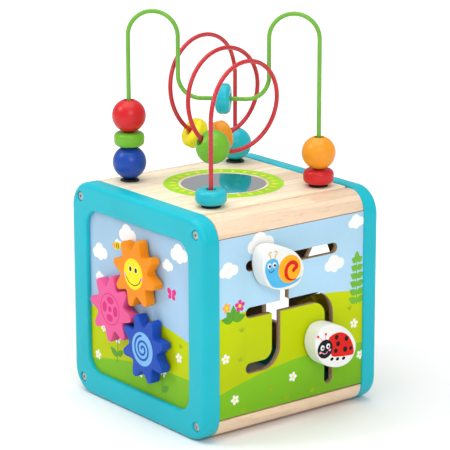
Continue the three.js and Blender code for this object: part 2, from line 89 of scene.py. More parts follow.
FRAME_CORNER, FRAME_EDGE = 24, 5
OPENING, OPENING_CORNER = 76.4, 16
REBATE, REBATE_CORNER, LIP = 81, 12, 4
SCREW_SIDE, SCREW_HEIGHT = 86, 86
RAIL_OUTER, RAIL_INNER, RAIL_TOP, RAIL_LEDGE = 98, 77, 198.5, 7
BALL_RADIUS, DISC_RADIUS, DISC_THICK, BEAD_HOLE = 15.25, 13.75, 13, 4.5
ARCH_STRAIGHT, ARCH_INNER, ARCH_BEND_Z, ARCH_BEND_R = 332.5, 40.7, 297.5, 20
GEAR_TOOTH = [(20.5, 0.385), (21.7, 0.3), (29.4, 0.115), (31, 0.06)]
GEAR_TEETH = 8
TRACK = 9.7
SNAIL_OUTLINE = [(-23, 2), (-20, 17), (-11, 20.3), (12, 12), (22.5, -3), (17, -17.5), (3, -20.5),
                 (-15, -15)]
LADYBIRD_OUTLINE = [(-24, 5), (-18, 18.5), (-6, 20.7), (13, 12.5), (23.5, -4), (18, -17), (4, -21),
                    (-16, -13)]
SNAIL_AT, LADYBIRD_AT = (-24, 151.6), (36, 69)


def linear(code):
    """A six-digit colour code as linear red, green and blue."""
    parts = [int(code[i:i + 2], 16) / 255 for i in (0, 2, 4)]
    return [c / 12.92 if c <= 0.04045 else ((c + 0.055) / 1.055) ** 2.4 for c in parts]


def colour_property(label, code):
    return FloatVectorProperty(
        name=label, description=f"{label} of the cube", subtype="COLOR",
        size=3, min=0, max=1, default=linear(code))


class CubeColours(PropertyGroup):
    """Colours that a maker would change."""
    teal: colour_property("Frame paint", "1cb6c6")
    sky: colour_property("Printed sky", "b5dbf6")
    lime: colour_property("Printed near hill", "c4d400")
    leaf: colour_property("Printed far hill", "7fbd22")
    cream: colour_property("Top board", "fbecce")
    tan: colour_property("Rail wood", "f8d8b8")
    red: colour_property("Red lacquer", "cf1f24")
    green: colour_property("Green lacquer", "6fb52a")
    blue: colour_property("Blue lacquer", "1746a8")
    orange: colour_property("Orange lacquer", "f39a1f")
    yellow: colour_property("Yellow lacquer", "f6e61e")
    gear_orange: colour_property("Sun gear", "f08c12")
    gear_pink: colour_property("Flower gear", "e85a96")
    gear_blue: colour_property("Spiral gear", "1b4bb3")
    wire_green: colour_property("Green wire", "6dae35")
    wire_red: colour_property("Red wire", "c22a33")


def number(label, meaning, value, least, most, kind=FloatProperty):
    return kind(name=label, description=meaning, default=value, min=least, max=most)


class MazeSizes(PropertyGroup):
    """Sizes of the bead maze on top."""
    wire: number("Wire radius", "Radius of both wires, in millimetres", 2.0, 1, 4)
    spiral: number("Spiral radius", "Radius of the red wire's loops, in millimetres", 43.5, 20, 60)
    start: number("Spiral height", "Height where the first loop starts, in millimetres", 275, 220, 320)
    rise: number("Rise", "How much higher the last loop ends, in millimetres", 9, 0, 30)
    turns: number("Turns", "Number of turns of the red wire", 2.5, 0.5, 4.5)
    ease: number("Ease", "Share of the spiral in which its pitch grows from nothing", 0.03, 0.01, 0.3)
    sway: number("Sway", "How much wider the outer loops are spaced than the middle ones", 0.03, 0, 0.12)
    sides: number("Wire sides", "Sides of the wires' round section", 16, 8, 32, IntProperty)


# ---------------------------------------------------------------- faces of the cube
class Face:
    """One side of the cube: u is right and v is up as seen from outside, and w is outwards."""

    def __init__(self, right, up, out, origin=(0, CUBE_Y, 0)):
        self.right, self.up, self.out = Vector(right), Vector(up), Vector(out)
        self.origin = Vector(origin)

    def at(self, u, v, w):
        return (self.origin + u * self.right + v * self.up + w * self.out) * MM

    def matrix(self, u, v, w, turn=0.0):
        """Places a shape drawn in the XY plane, Z outwards, on this side."""
        axes = Matrix((self.right, self.up, self.out)).transposed().to_4x4()
        return Matrix.Translation(self.at(u, v, w)) @ axes @ Matrix.Rotation(turn, 4, "Z")


LEFT = Face((0, -1, 0), (0, 0, 1), (-1, 0, 0))
RIGHT = Face((0, 1, 0), (0, 0, 1), (1, 0, 0))
FRONT = Face((1, 0, 0), (0, 0, 1), (0, -1, 0))
BACK = Face((-1, 0, 0), (0, 0, 1), (0, 1, 0))
TOP = Face((1, 0, 0), (0, 1, 0), (0, 0, 1))
PLAIN = Face((1, 0, 0), (0, 1, 0), (0, 0, 1), (0, 0, 0))     # for originals that are repeated


# ---------------------------------------------------------------- node trees of materials
class Shader:
    """A material with short ways to add and join its nodes."""

    def __init__(self, name, **settings):
        self.material = bpy.data.materials.new(name)
        self.material.use_nodes = True
        tree = self.material.node_tree
        self.nodes, self.links = tree.nodes, tree.links
        self.surface = self.nodes["Principled BSDF"]
        for socket, value in settings.items():
            self.surface.inputs[socket.replace("_", " ")].default_value = value
        self.place = self.add("ShaderNodeTexCoord").outputs["Object"]

    def add(self, kind, inputs=None, **settings):
        node = self.nodes.new(kind)
        for key, value in settings.items():
            setattr(node, key, value)
        for key, value in (inputs or {}).items():
            self.feed(node.inputs[key], value)
        return node

    def feed(self, socket, value):
        if isinstance(value, bpy.types.NodeSocket):
            self.links.new(value, socket)
        else:
            socket.default_value = value

    def math(self, operation, *values, clamp=False):
        inputs = dict(enumerate(values))
        return self.add("ShaderNodeMath", inputs, operation=operation, use_clamp=clamp).outputs[0]

    def mix(self, factor, first, second, blend="MIX"):
        rgba = [v if isinstance(v, bpy.types.NodeSocket) else (*v[:3], 1) for v in (first, second)]
        inputs = {0: factor, 6: rgba[0], 7: rgba[1]}
        return self.add("ShaderNodeMix", inputs, data_type="RGBA", blend_type=blend).outputs[2]

    def stretched(self, scale, rotation=(0, 0, 0)):
        inputs = {"Vector": self.place, "Scale": scale, "Rotation": rotation}
        return self.add("ShaderNodeMapping", inputs).outputs[0]

    def noise(self, scale, detail=3, roughness=0.5, vector=None):
        inputs = {"Vector": vector or self.place, "Scale": scale, "Detail": detail, "Roughness": roughness}
        return self.add("ShaderNodeTexNoise", inputs).outputs[0]

    def chance(self, number):
        """A value from 0 to 1 that belongs to the number."""
        return self.add("ShaderNodeTexWhiteNoise", {"W": number}, noise_dimensions="1D").outputs[0]

    def between(self, value, low, high, to_low=0, to_high=1):
        inputs = {0: value, 1: low, 2: high, 3: to_low, 4: to_high}
        return self.add("ShaderNodeMapRange", inputs, clamp=True).outputs[0]

    def axis(self, name):
        """One object coordinate in millimetres."""
        part = self.add("ShaderNodeSeparateXYZ", {0: self.place}).outputs[name]
        return self.math("MULTIPLY", part, 1 / MM)

    def colour(self, value):
        self.feed(self.surface.inputs["Base Color"], value)

    def rough(self, value):
        self.feed(self.surface.inputs["Roughness"], value)

    def mottled(self, field, first, second):
        """Colours the surface from first to second, as a noise field says."""
        self.colour(self.mix(self.between(field, 0.3, 0.7), first, second))

    def gloss(self, field, low, high):
        """Lets the roughness wander between two values, as a noise field says."""
        self.rough(self.between(field, 0.3, 0.7, low, high))

    def bump(self, height, distance, strength=1.0):
        """Relief of a height field, as deep as distance in millimetres."""
        inputs = {"Height": height, "Distance": distance * MM, "Strength": strength}
        node = self.add("ShaderNodeBump", inputs)
        self.feed(self.surface.inputs["Normal"], node.outputs[0])


def shade(rgb, factor):
    return [min(1, c * factor) for c in rgb]


_finishes = {}


def finish(name, maker, *values, **options):
    """The material of that name, made once."""
    if name not in _finishes:
        _finishes[name] = maker(name, *values, **options)
    return _finishes[name]


def satin_paint(name, rgb, roughness=0.36, coat=0.08):
    """Sprayed satin paint on sanded wood: faint orange peel, grain ghosts and cloudy gloss."""
    s = Shader(name, Specular_IOR_Level=0.14, Coat_Weight=coat, Coat_Roughness=0.18)
    s.mottled(s.noise(18, 3), shade(rgb, 0.95), shade(rgb, 1.04))
    s.gloss(s.noise(70, 4, 0.6), roughness - 0.06, roughness + 0.07)
    peel = s.noise(900, 1)
    grain = s.noise(160, 3, 0.6, s.stretched((1, 1, 0.08)))
    s.bump(s.math("ADD", s.math("MULTIPLY", peel, 0.6), grain), 0.035)
    return s.material


def gloss_lacquer(name, rgb):
    """Dipped gloss lacquer on a turned bead, with the end grain showing faintly through."""
    s = Shader(name, Specular_IOR_Level=0.25, Coat_Weight=0.16, Coat_Roughness=0.22)
    grain = s.noise(240, 4, 0.6, s.stretched((1, 1, 0.15)))
    tone = s.mix(s.between(s.noise(45, 2), 0.3, 0.7), shade(rgb, 0.93), shade(rgb, 1.05))
    s.colour(s.mix(s.between(grain, 0.35, 0.75, 0, 0.12), tone, shade(rgb, 0.7)))
    s.gloss(s.noise(110, 3), 0.29, 0.42)
    s.bump(grain, 0.05, 0.7)
    return s.material


def lacquered_wood(name, light, dark, stave=34.0, along="X", across="Y", seed=0.0):
    """Pale glued staves: growth lines, fine pores and a toothed joint in every stave."""
    s = Shader(name, Coat_Weight=0.25, Coat_Roughness=0.2)
    run, side = s.axis(along), s.axis(across)
    index = s.math("FLOOR", s.math("DIVIDE", s.math("ADD", side, seed + 500), stave))
    jitter = s.chance(s.math("ADD", index, seed))
    joint = s.between(jitter, 0, 1, -70, 70)
    tooth = s.math("PINGPONG", side, 2.2)
    past = s.math("GREATER_THAN", run, s.math("ADD", joint, s.math("MULTIPLY", tooth, 3)))
    piece = s.math("ADD", s.math("MULTIPLY", index, 2), past)
    tone = s.chance(s.math("ADD", piece, seed + 7))
    squeeze = {"X": (0.07, 1, 1), "Y": (1, 0.07, 1), "Z": (1, 1, 0.07)}[along]
    shift = s.add("ShaderNodeCombineXYZ", {0: piece, 1: piece, 2: tone}).outputs[0]
    inputs = {0: s.stretched(squeeze), 1: shift}
    grain_place = s.add("ShaderNodeVectorMath", inputs, operation="ADD").outputs[0]
    rings = s.add("ShaderNodeTexWave", {"Vector": grain_place, "Scale": 34, "Distortion": 5, "Detail": 3,
                                        "Detail Scale": 1.4, "Detail Roughness": 0.6},
                  wave_type="BANDS", bands_direction="DIAGONAL", wave_profile="SAW").outputs[1]
    pores = s.noise(900, 3, 0.7, grain_place)
    base = s.mix(s.between(tone, 0.55, 1, 0.0, 1), light, dark)
    lined = s.mix(s.between(rings, 0.3, 1, 0, 0.3), base, shade(dark, 0.72))
    seam = s.math("PINGPONG", s.math("ADD", side, seed + 500), stave / 2)
    glued = s.mix(s.between(seam, 0, 0.25, 0.45, 0), lined, shade(dark, 0.5))
    s.colour(s.mix(s.between(pores, 0.52, 0.72, 0, 0.35), glued, shade(dark, 0.55)))
    s.gloss(pores, 0.38, 0.52)
    s.bump(s.math("ADD", rings, pores), 0.03)
    return s.material


def printed_board(name, face_axis, sign, surface, across, origin, hills, colours):
    """A printed meadow on the outer face of a board, and bare layered board everywhere else.

    hills holds, for the near and the far hill, the height, slope and curvature of its top line.
    """
    sky, lime, leaf = colours
    s = Shader(name, Specular_IOR_Level=0.08, Coat_Weight=0.04, Coat_Roughness=0.2)
    out = s.math("MULTIPLY", s.math("SUBTRACT", s.axis(face_axis), origin[0]), sign)
    u = s.math("MULTIPLY", s.math("SUBTRACT", s.axis(across[0]), origin[1]), across[1])
    v = s.axis("Z")

    def below(height, slope, bow):
        rise = s.math("MULTIPLY", u, s.math("ADD", slope, s.math("MULTIPLY", u, bow)))
        gap = s.math("SUBTRACT", s.math("ADD", height, rise), v)
        return gap, s.math("MULTIPLY_ADD", gap, 5.0, 0.5, clamp=True)

    depth, near = below(*hills[0])
    deep, far = below(*hills[1])
    high = s.between(v, 60, 190)
    air = s.mix(high, shade(sky, 1.07), shade(sky, 0.93))
    meadow = s.mix(s.between(depth, 0, 60), shade(lime, 1.04), shade(lime, 0.9))
    slope = s.mix(s.between(deep, 0, 40), shade(leaf, 1.06), shade(leaf, 0.86))
    mottle = s.noise(26, 2)
    land = s.mix(far, s.mix(near, air, meadow), slope)
    picture = s.mix(s.between(mottle, 0.3, 0.7, 0, 0.1), land, shade(lime, 0.85), "MULTIPLY")
    layer = s.math("PINGPONG", s.math("SUBTRACT", out, surface), 1.15)
    fibres = s.noise(420, 4, 0.7)
    board = s.mix(s.between(fibres, 0.3, 0.7), linear("b08d68"), linear("d8bd98"))
    board = s.mix(s.between(layer, 0.5, 1.1, 0, 0.35), board, linear("8a6544"))
    printed = s.math("GREATER_THAN", out, surface - 0.12)
    s.colour(s.mix(printed, board, picture))
    s.gloss(s.noise(90, 3), 0.36, 0.48)
    s.bump(s.math("MULTIPLY", fibres, s.math("SUBTRACT", 1.3, printed)), 0.05)
    return s.material


def ink(name, rgb):
    """Screen-printed ink under clear lacquer, with a little unevenness in its cover."""
    s = Shader(name, Specular_IOR_Level=0.1, Coat_Weight=0.04, Coat_Roughness=0.2)
    cover = s.noise(60, 4, 0.65)
    s.mottled(cover, shade(rgb, 0.94), shade(rgb, 1.04))
    s.gloss(s.noise(130, 2), 0.34, 0.46)
    s.bump(cover, 0.01)
    return s.material


def powder_coat(name, rgb):
    """Glossy baked coat on steel wire, with a fine ripple."""
    s = Shader(name, Specular_IOR_Level=0.3, Coat_Weight=0.2, Coat_Roughness=0.12)
    ripple = s.noise(420, 3, 0.6)
    s.mottled(s.noise(55, 2), shade(rgb, 0.92), shade(rgb, 1.06))
    s.gloss(ripple, 0.22, 0.36)
    s.bump(ripple, 0.04)
    return s.material


def moulded_plastic(name, rgb, roughness=0.45):
    """Spark-finished moulded plastic."""
    s = Shader(name, Specular_IOR_Level=0.4)
    grit = s.noise(1500, 2, 0.6)
    s.mottled(s.noise(60, 2), shade(rgb, 0.9), shade(rgb, 1.1))
    s.gloss(grit, roughness - 0.08, roughness + 0.1)
    s.bump(grit, 0.02)
    return s.material


def plated_steel(name):
    """Zinc-plated steel with stamping marks."""
    s = Shader(name, Metallic=1.0)
    wear = s.noise(500, 4, 0.7)
    s.mottled(wear, linear("8f9394"), linear("c9cccd"))
    s.gloss(wear, 0.24, 0.46)
    s.bump(wear, 0.03)
    return s.material


def safety_mirror(name):
    """Acrylic mirror: almost clean, with hairline scratches."""
    s = Shader(name, Metallic=1.0)
    hairs = s.noise(40, 6, 0.8, s.stretched((1, 14, 1), rotation=(0, 0, 0.6)))
    s.colour(s.mix(s.between(hairs, 0.6, 0.75, 0, 0.25), linear("c9d0d4"), linear("a4abb0")))
    s.rough(s.between(hairs, 0.55, 0.75, 0.03, 0.12))
    s.bump(s.noise(9, 1), 0.02, 0.3)
    return s.material


# ---------------------------------------------------------------- outlines, as lists of (u, v)
def circle(u, v, radius, steps=40):
    return ellipse(u, v, radius, radius, 0, steps)


def moved(points, u, v, turn=0.0):
    """The points, turned about the origin and then moved by (u, v)."""
    c, s = math.cos(turn), math.sin(turn)
    return [(u + a * c - b * s, v + a * s + b * c) for a, b in points]


def ellipse(u, v, wide, high, turn=0.0, steps=40):
    angles = [math.tau * i / steps for i in range(steps)]
    return moved([(wide * math.cos(a), high * math.sin(a)) for a in angles], u, v, turn)


def arc(u, v, radius, start, end, steps, high=None):
    """Points on an arc, with its angles in degrees; high is its height where that differs from radius."""
    angles = [math.radians(start + (end - start) * i / steps) for i in range(steps + 1)]
    return [(u + radius * math.cos(a), v + (high or radius) * math.sin(a)) for a in angles]


def smooth_loop(points, steps=10):
    """A closed centripetal spline through the points."""
    knots = [Vector(p) for p in points]
    count, loop = len(knots), []
    for i in range(count):
        p = [knots[(i + j) % count] for j in (-1, 0, 1, 2)]
        t = [0.0]
        for a, b in zip(p, p[1:]):
            t.append(t[-1] + (b - a).length ** 0.5)
        for k in range(steps):
            x = t[1] + (t[2] - t[1]) * k / steps
            a = [p[j].lerp(p[j + 1], (x - t[j]) / (t[j + 1] - t[j])) for j in range(3)]
            b = [a[j].lerp(a[j + 1], (x - t[j]) / (t[j + 2] - t[j])) for j in range(2)]
            loop.append(tuple(b[0].lerp(b[1], (x - t[1]) / (t[2] - t[1]))))
    return loop


def smooth_line(points, steps=8):
    """An open spline through the points."""
    return smooth_loop(points, steps)[:(len(points) - 1) * steps + 1]


def puffs(bumps, steps=90):
    """The outline of a cloud: the outside of circles (u, v, radius) that all reach its middle."""
    cu = sum(b[0] for b in bumps) / len(bumps)
    cv = sum(b[1] for b in bumps) / len(bumps)
    points = []
    for i in range(steps):
        du, dv = math.cos(math.tau * i / steps), math.sin(math.tau * i / steps)
        reach = 0.5
        for u, v, r in bumps:
            along = (u - cu) * du + (v - cv) * dv
            off = (u - cu) ** 2 + (v - cv) ** 2 - along ** 2
            if off < r * r:
                reach = max(reach, along + math.sqrt(r * r - off))
        points.append((cu + reach * du, cv + reach * dv))
    return points


def blossom(radius, petals, waist, steps=90):
    """A flower's outline with round petals; waist is how much of the radius is left between them."""
    points = []
    for i in range(steps):
        angle = math.tau * i / steps
        swell = abs(math.cos(petals * angle / 2)) ** 0.55
        r = radius * (waist + (1 - waist) * swell)
        points.append((r * math.cos(angle), r * math.sin(angle)))
    return points


def leaf(u, v, length, width, turn, steps=14):
    """A pointed leaf that grows from (u, v)."""
    points = []
    for i in range(2 * steps):
        t = i / steps
        x, side = (t, 1) if t <= 1 else (2 - t, -1)
        points.append((length * x, side * width / 2 * math.sin(math.pi * x ** 0.8)))
    return moved(points, u, v, turn)


def filleted(points, radius, steps=5):
    """Rounds every corner of a closed outline."""
    rounded, count = [], len(points)
    for i in range(count):
        before, corner, after = (Vector(points[(i + j) % count]) for j in (-1, 0, 1))
        one, two = before - corner, after - corner
        half = one.angle(two) / 2
        reach = min(radius / math.tan(half), 0.46 * one.length, 0.46 * two.length)
        start, end = corner + one.normalized() * reach, corner + two.normalized() * reach
        for k in range(steps + 1):
            t = k / steps
            rounded.append(tuple(start * (1 - t) ** 2 + corner * 2 * t * (1 - t) + end * t * t))
    return rounded


def rounded_square(half, corner, u=0, v=0, steps=8):
    """A square with round corners; every such outline has its points in the same order."""
    points = []
    for i, (su, sv) in enumerate(((1, 1), (-1, 1), (-1, -1), (1, -1))):
        for k in range(steps + 1):
            angle = math.pi / 2 * (i + k / steps)
            points.append((u + su * (half - corner) + corner * math.cos(angle),
                           v + sv * (half - corner) + corner * math.sin(angle)))
    return points


def polygon(sides, radius, u, v):
    """A regular polygon with a corner at the top."""
    return arc(u, v, radius, 90, 450, sides)[:-1]


def normals(points, closed=True):
    """Unit normals, to the right of the way the points run."""
    count, result = len(points), []
    for i in range(count):
        before = points[i - 1] if closed or i else points[i]
        after = points[(i + 1) % count] if closed or i < count - 1 else points[i]
        du, dv = after[0] - before[0], after[1] - before[1]
        length = math.hypot(du, dv) or 1
        result.append((dv / length, -du / length))
    return result


# ---------------------------------------------------------------- meshes
class MeshMaker:
    """Collects closed solids with their materials and turns them into one piece."""

    def __init__(self, name, body="cube", slot=None):
        self.name, self.body, self.slot = name, body, slot
        self.points, self.faces, self.looks, self.materials = [], [], [], []

    def skin(self, loops, material, close=False):
        """Joins loops of equally many points; close joins the last to the first, in place of two caps."""
        count, faces = len(loops[0]), []
        start = len(self.points)
        pairs = list(range(len(loops) - 1)) + ([-1] if close else [])
        for i in pairs:
            a = start + (i % len(loops)) * count
            b = start + ((i + 1) % len(loops)) * count
            for j in range(count):
                k = (j + 1) % count
                faces.append([a + j, a + k, b + k, b + j])
        if not close:
            faces.append([start + j for j in range(count)][::-1])
            faces.append([start + len(loops) * count - count + j for j in range(count)])
        if material not in self.materials:
            self.materials.append(material)
        self.points += [tuple(p) for loop in loops for p in loop]
        self.faces += faces
        self.looks += [self.materials.index(material)] * len(faces)

    def mesh(self):
        mesh = bpy.data.meshes.new(self.name)
        mesh.from_pydata(self.points, [], self.faces)
        for material in filter(None, self.materials):
            mesh.materials.append(material)
        mesh.polygons.foreach_set("material_index", self.looks)
        tidy_normals(mesh)
        return mesh

    def build(self, replaces=(), sharp=35):
        settle(linked(self.name, self.mesh()), self.body, replaces, sharp)


def linked(name, data):
    """A new object that is in the scene."""
    thing = bpy.data.objects.new(name, data)
    bpy.context.scene.collection.objects.link(thing)
    return thing


def tidy_normals(mesh):
    work = bmesh.new()
    work.from_mesh(mesh)
    bmesh.ops.recalc_face_normals(work, faces=work.faces)
    work.to_mesh(mesh)
    work.free()


def settle(piece, body, replaces=(), sharp=35):
    """Shades a finished piece, joins it to its body and hides the nodes it stands for."""
    piece.data.shade_smooth()
    piece.data.set_sharp_from_angle(angle=math.radians(sharp))
    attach(piece, body)
    if replaces:
        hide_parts(*replaces)


def whole(name, loops, material, slot, node, sharp, body="cube", close=False):
    """A piece of one solid that stands for a frame node."""
    maker = MeshMaker(name, body, slot)
    maker.skin(loops, material, close)
    maker.build([node], sharp)


def slab_loops(face, outline, low, high, edge=0.0, steps=4, back_edge=0.0):
    """Loops of a plate from low to high, with its front and back edges rounded by edge and back_edge."""
    area = sum(a[0] * b[1] - b[0] * a[1] for a, b in zip(outline, outline[1:] + outline[:1]))
    if area < 0:
        outline = outline[::-1]
    outward = normals(outline)

    def loop(inset, w):
        return [face.at(u - n[0] * inset, v - n[1] * inset, w) for (u, v), n in zip(outline, outward)]

    loops = []
    for radius, level, sign in ((back_edge, low, 1), (edge, high, -1)):
        rim = []
        for i in range(steps + 1 if radius else 1):
            angle = math.pi / 2 * i / steps
            rim.append(loop(radius * (1 - math.sin(angle)), level + sign * radius * (1 - math.cos(angle))))
        loops += rim if sign > 0 else rim[::-1]
    return loops


def turned(face, profile, u=0, v=0, steps=56):
    """Loops round an axis that points out of a side, one for each (radius, w) of the profile."""
    return [[face.at(*p, w) for p in circle(u, v, radius, steps)] for radius, w in profile]


class Picture(MeshMaker):
    """A printed picture: thin inked shapes, one layer over another, on one side of the cube."""

    def __init__(self, name, face, surface, body="cube", slot="printed_ply"):
        super().__init__(name, body, slot)
        self.face, self.surface, self.count = face, surface, 0

    def height(self, layer):
        """The top of the next shape, a hair above the one printed before it."""
        self.count += 1
        return self.surface + layer * INK + self.count * INK_STEP

    def shape(self, outline, material, layer=1):
        self.skin(slab_loops(self.face, outline, self.surface - INK, self.height(layer)), material)

    def stroke(self, points, width, material, layer=1, taper=False):
        """A line of that width, or one that narrows to its end."""
        count = len(points)
        left, right = [], []
        for i, ((u, v), (nu, nv)) in enumerate(zip(points, normals(points, closed=False))):
            half = width / 2 * (1 - 0.85 * i / (count - 1) if taper else 1)
            left.append((u - nu * half, v - nv * half))
            right.append((u + nu * half, v + nv * half))
        low, high = self.surface - INK, self.height(layer)
        loops = [[self.face.at(*point, w) for point, w in ((a, low), (b, low), (b, high), (a, high))]
                 for a, b in zip(left, right)]
        self.skin(loops, material)
        for u, v in (points[0], points[-1]):
            if not taper:
                self.shape(circle(u, v, width / 2, 20), material, layer + 0.2)

    def band(self, outline, inner, outer, material, layer=1):
        """A line along a closed outline that runs counterclockwise, between two offsets from it."""
        outward = normals(outline)
        low, high = self.surface - INK, self.height(layer)
        loops = [[self.face.at(u + n[0] * off, v + n[1] * off, w) for (u, v), n in zip(outline, outward)]
                 for off, w in ((inner, low), (outer, low), (outer, high), (inner, high))]
        self.skin(loops, material, close=True)


def carve(piece, shapes):
    """Cuts shapes, each given as its loops, out of the piece."""
    cutters = [draft("cutter", loops) for loops in shapes]
    for cutter in cutters:
        modifier = piece.modifiers.new("cut", "BOOLEAN")
        modifier.operation, modifier.solver, modifier.object = "DIFFERENCE", "EXACT", cutter
    bake(piece)
    for cutter in cutters:
        bpy.data.objects.remove(cutter)


def bake(piece):
    """Turns the modifiers' result into the piece's own plain mesh."""
    bpy.context.view_layer.update()
    evaluated = piece.evaluated_get(bpy.context.evaluated_depsgraph_get())
    mesh = bpy.data.meshes.new_from_object(evaluated)
    piece.modifiers.clear()
    piece.data = mesh


# ---------------------------------------------------------------- geometry node trees
def node_tree(name, inputs):
    """A geometry tree with its named inputs; returns the tree and its input and output nodes."""
    tree = bpy.data.node_groups.new(name, "GeometryNodeTree")
    tree.interface.new_socket("Geometry", in_out="INPUT", socket_type="NodeSocketGeometry")
    for label, kind in inputs:
        tree.interface.new_socket(label, in_out="INPUT", socket_type=kind)
    tree.interface.new_socket("Geometry", in_out="OUTPUT", socket_type="NodeSocketGeometry")
    return tree, tree.nodes.new("NodeGroupInput"), tree.nodes.new("NodeGroupOutput")


def chain(tree, source, nodes, target):
    """Joins nodes in a row by their first geometry sockets, with Set Material last."""
    socket = source
    for node, key in nodes:
        tree.links.new(socket, node.inputs[key])
        socket = node.outputs[0]
    tree.links.new(socket, target)


def tube_tree():
    """Sweeps a round section along a polyline."""
    tree, given, result = node_tree("Swept wire", [
        ("Radius", "NodeSocketFloat"), ("Sides", "NodeSocketInt"), ("Material", "NodeSocketMaterial")])
    to_curve = tree.nodes.new("GeometryNodeMeshToCurve")
    section = tree.nodes.new("GeometryNodeCurvePrimitiveCircle")
    sweep = tree.nodes.new("GeometryNodeCurveToMesh")
    realize = tree.nodes.new("GeometryNodeRealizeInstances")
    paint = tree.nodes.new("GeometryNodeSetMaterial")
    tree.links.new(given.outputs["Radius"], section.inputs["Radius"])
    tree.links.new(given.outputs["Sides"], section.inputs["Resolution"])
    tree.links.new(section.outputs[0], sweep.inputs["Profile Curve"])
    sweep.inputs["Fill Caps"].default_value = True
    tree.links.new(given.outputs["Material"], paint.inputs["Material"])
    chain(tree, given.outputs["Geometry"], [(to_curve, "Mesh"), (sweep, "Curve"), (realize, "Geometry"),
                                           (paint, "Geometry")], result.inputs[0])
    return tree


def repeat_tree():
    """Puts a copy of an original on every point, turned and sized by the point's own values."""
    tree, given, result = node_tree("Repeated piece", [
        ("Original", "NodeSocketObject"), ("Material", "NodeSocketMaterial")])
    info = tree.nodes.new("GeometryNodeObjectInfo")
    copies = tree.nodes.new("GeometryNodeInstanceOnPoints")
    realize = tree.nodes.new("GeometryNodeRealizeInstances")
    paint = tree.nodes.new("GeometryNodeSetMaterial")
    for label, kind, socket in (("turn", "FLOAT_VECTOR", "Rotation"), ("size", "FLOAT", "Scale")):
        value = tree.nodes.new("GeometryNodeInputNamedAttribute")
        value.data_type = kind
        value.inputs["Name"].default_value = label
        tree.links.new(value.outputs["Attribute"], copies.inputs[socket])
    tree.links.new(given.outputs["Original"], info.inputs["Object"])
    tree.links.new(info.outputs["Geometry"], copies.inputs["Instance"])
    tree.links.new(given.outputs["Material"], paint.inputs["Material"])
    chain(tree, given.outputs["Geometry"], [(copies, "Points"), (realize, "Geometry"), (paint, "Geometry")],
          result.inputs[0])
    return tree


def run_tree(piece, maker, values):
    """Runs a tree on a piece, with its inputs set by socket identifier, and keeps the result."""
    tree = bpy.data.node_groups.get(maker.__name__) or maker()
    tree.name = maker.__name__
    modifier = piece.modifiers.new("tree", "NODES")
    modifier.node_group = tree
    for item in tree.interface.items_tree:
        if item.in_out == "INPUT" and item.name in values:
            modifier[item.identifier] = values[item.name]
    bake(piece)


def repeated(name, original, places, material, replaces=()):
    """One piece made of copies of an original, each at a matrix of places."""
    mesh = bpy.data.meshes.new(name)
    mesh.from_pydata([m.to_translation() for m in places], [], [])
    mesh.attributes.new("turn", "FLOAT_VECTOR", "POINT")
    mesh.attributes.new("size", "FLOAT", "POINT")
    for i, place in enumerate(places):
        mesh.attributes["turn"].data[i].vector = place.to_euler()
        mesh.attributes["size"].data[i].value = place.to_scale().x
    piece = linked(name, mesh)
    run_tree(piece, repeat_tree, {"Original": original, "Material": material})
    bpy.data.objects.remove(original)
    piece.data.materials.clear()
    piece.data.materials.append(material)
    settle(piece, "cube", replaces)


def draft(name, loops, material=None, close=False):
    """An object at the origin, to be cut into, to cut with or to be repeated."""
    maker = MeshMaker(name)
    maker.skin(loops, material, close)
    return linked(name, maker.mesh())


def along(name, points, radius, sides, material, slot, replaces):
    """A wire through the points, made by the tube tree."""
    mesh = bpy.data.meshes.new(name)
    mesh.from_pydata([Vector(p) * MM for p in points], [(i, i + 1) for i in range(len(points) - 1)], [])
    piece = linked(name, mesh)
    run_tree(piece, tube_tree, {"Radius": radius * MM, "Sides": sides, "Material": material})
    tidy_normals(piece.data)
    settle(piece, "cube", replaces, sharp=60)


def dress(node, material):
    """Gives a frame node that keeps its own shape a finished material."""
    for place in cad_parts[node].material_slots:
        place.material = material


# ---------------------------------------------------------------- the shared finishes
def peg_wood(c):
    return finish("peg_wood", lacquered_wood, c.tan[:], shade(c.tan, 0.75), stave=80, along="Z", across="X")


INKS = {
    "white": "f7f7f5", "black": "16151a", "red": "de1e14", "orange": "f79a3c", "gold": "fbb03a",
    "yellow": "ffe11f", "pale_yellow": "fff6a0", "pink": "f7a3c0", "gear_pink": "f0609f",
    "deep_pink": "d9317f", "magenta": "e0368e", "snail_blue": "55b9ea", "light_blue": "7db8ec",
    "deep_blue": "1d55b5", "shell": "fdb01d", "olive": "d6b13c", "brown": "6b5210",
    "grass": "5fa52c", "dark_grass": "3f8a35", "fresh_grass": "74b83c", "tuft": "9db414",
    "ring": "a4dc14", "ray": "f3ea3a",
}


def inked(colour):
    """The printing ink of that name."""
    return finish(f"{colour}_ink", ink, linear(INKS[colour]))


def steel():
    return finish("zinc_steel", plated_steel)


class CubePiece:
    """What every operator of this cube shares."""
    bl_options = {"REGISTER", "UNDO"}

    def execute(self, context):
        self.make(context.scene.activity_cube_colours, context.scene.activity_cube_maze)
        return {"FINISHED"}


# ---------------------------------------------------------------- body of the cube
SORTER_HOLES = {
    "triangle": filleted(polygon(3, 50 / math.sqrt(3), -30, 126.4), 2),
    "square": rounded_square(20, 2, 34.4, 63),
    "circle": circle(32, 130, 21, 72),
    "hexagon": filleted(polygon(6, 40 / math.sqrt(3), -30, 66), 1.5),
}


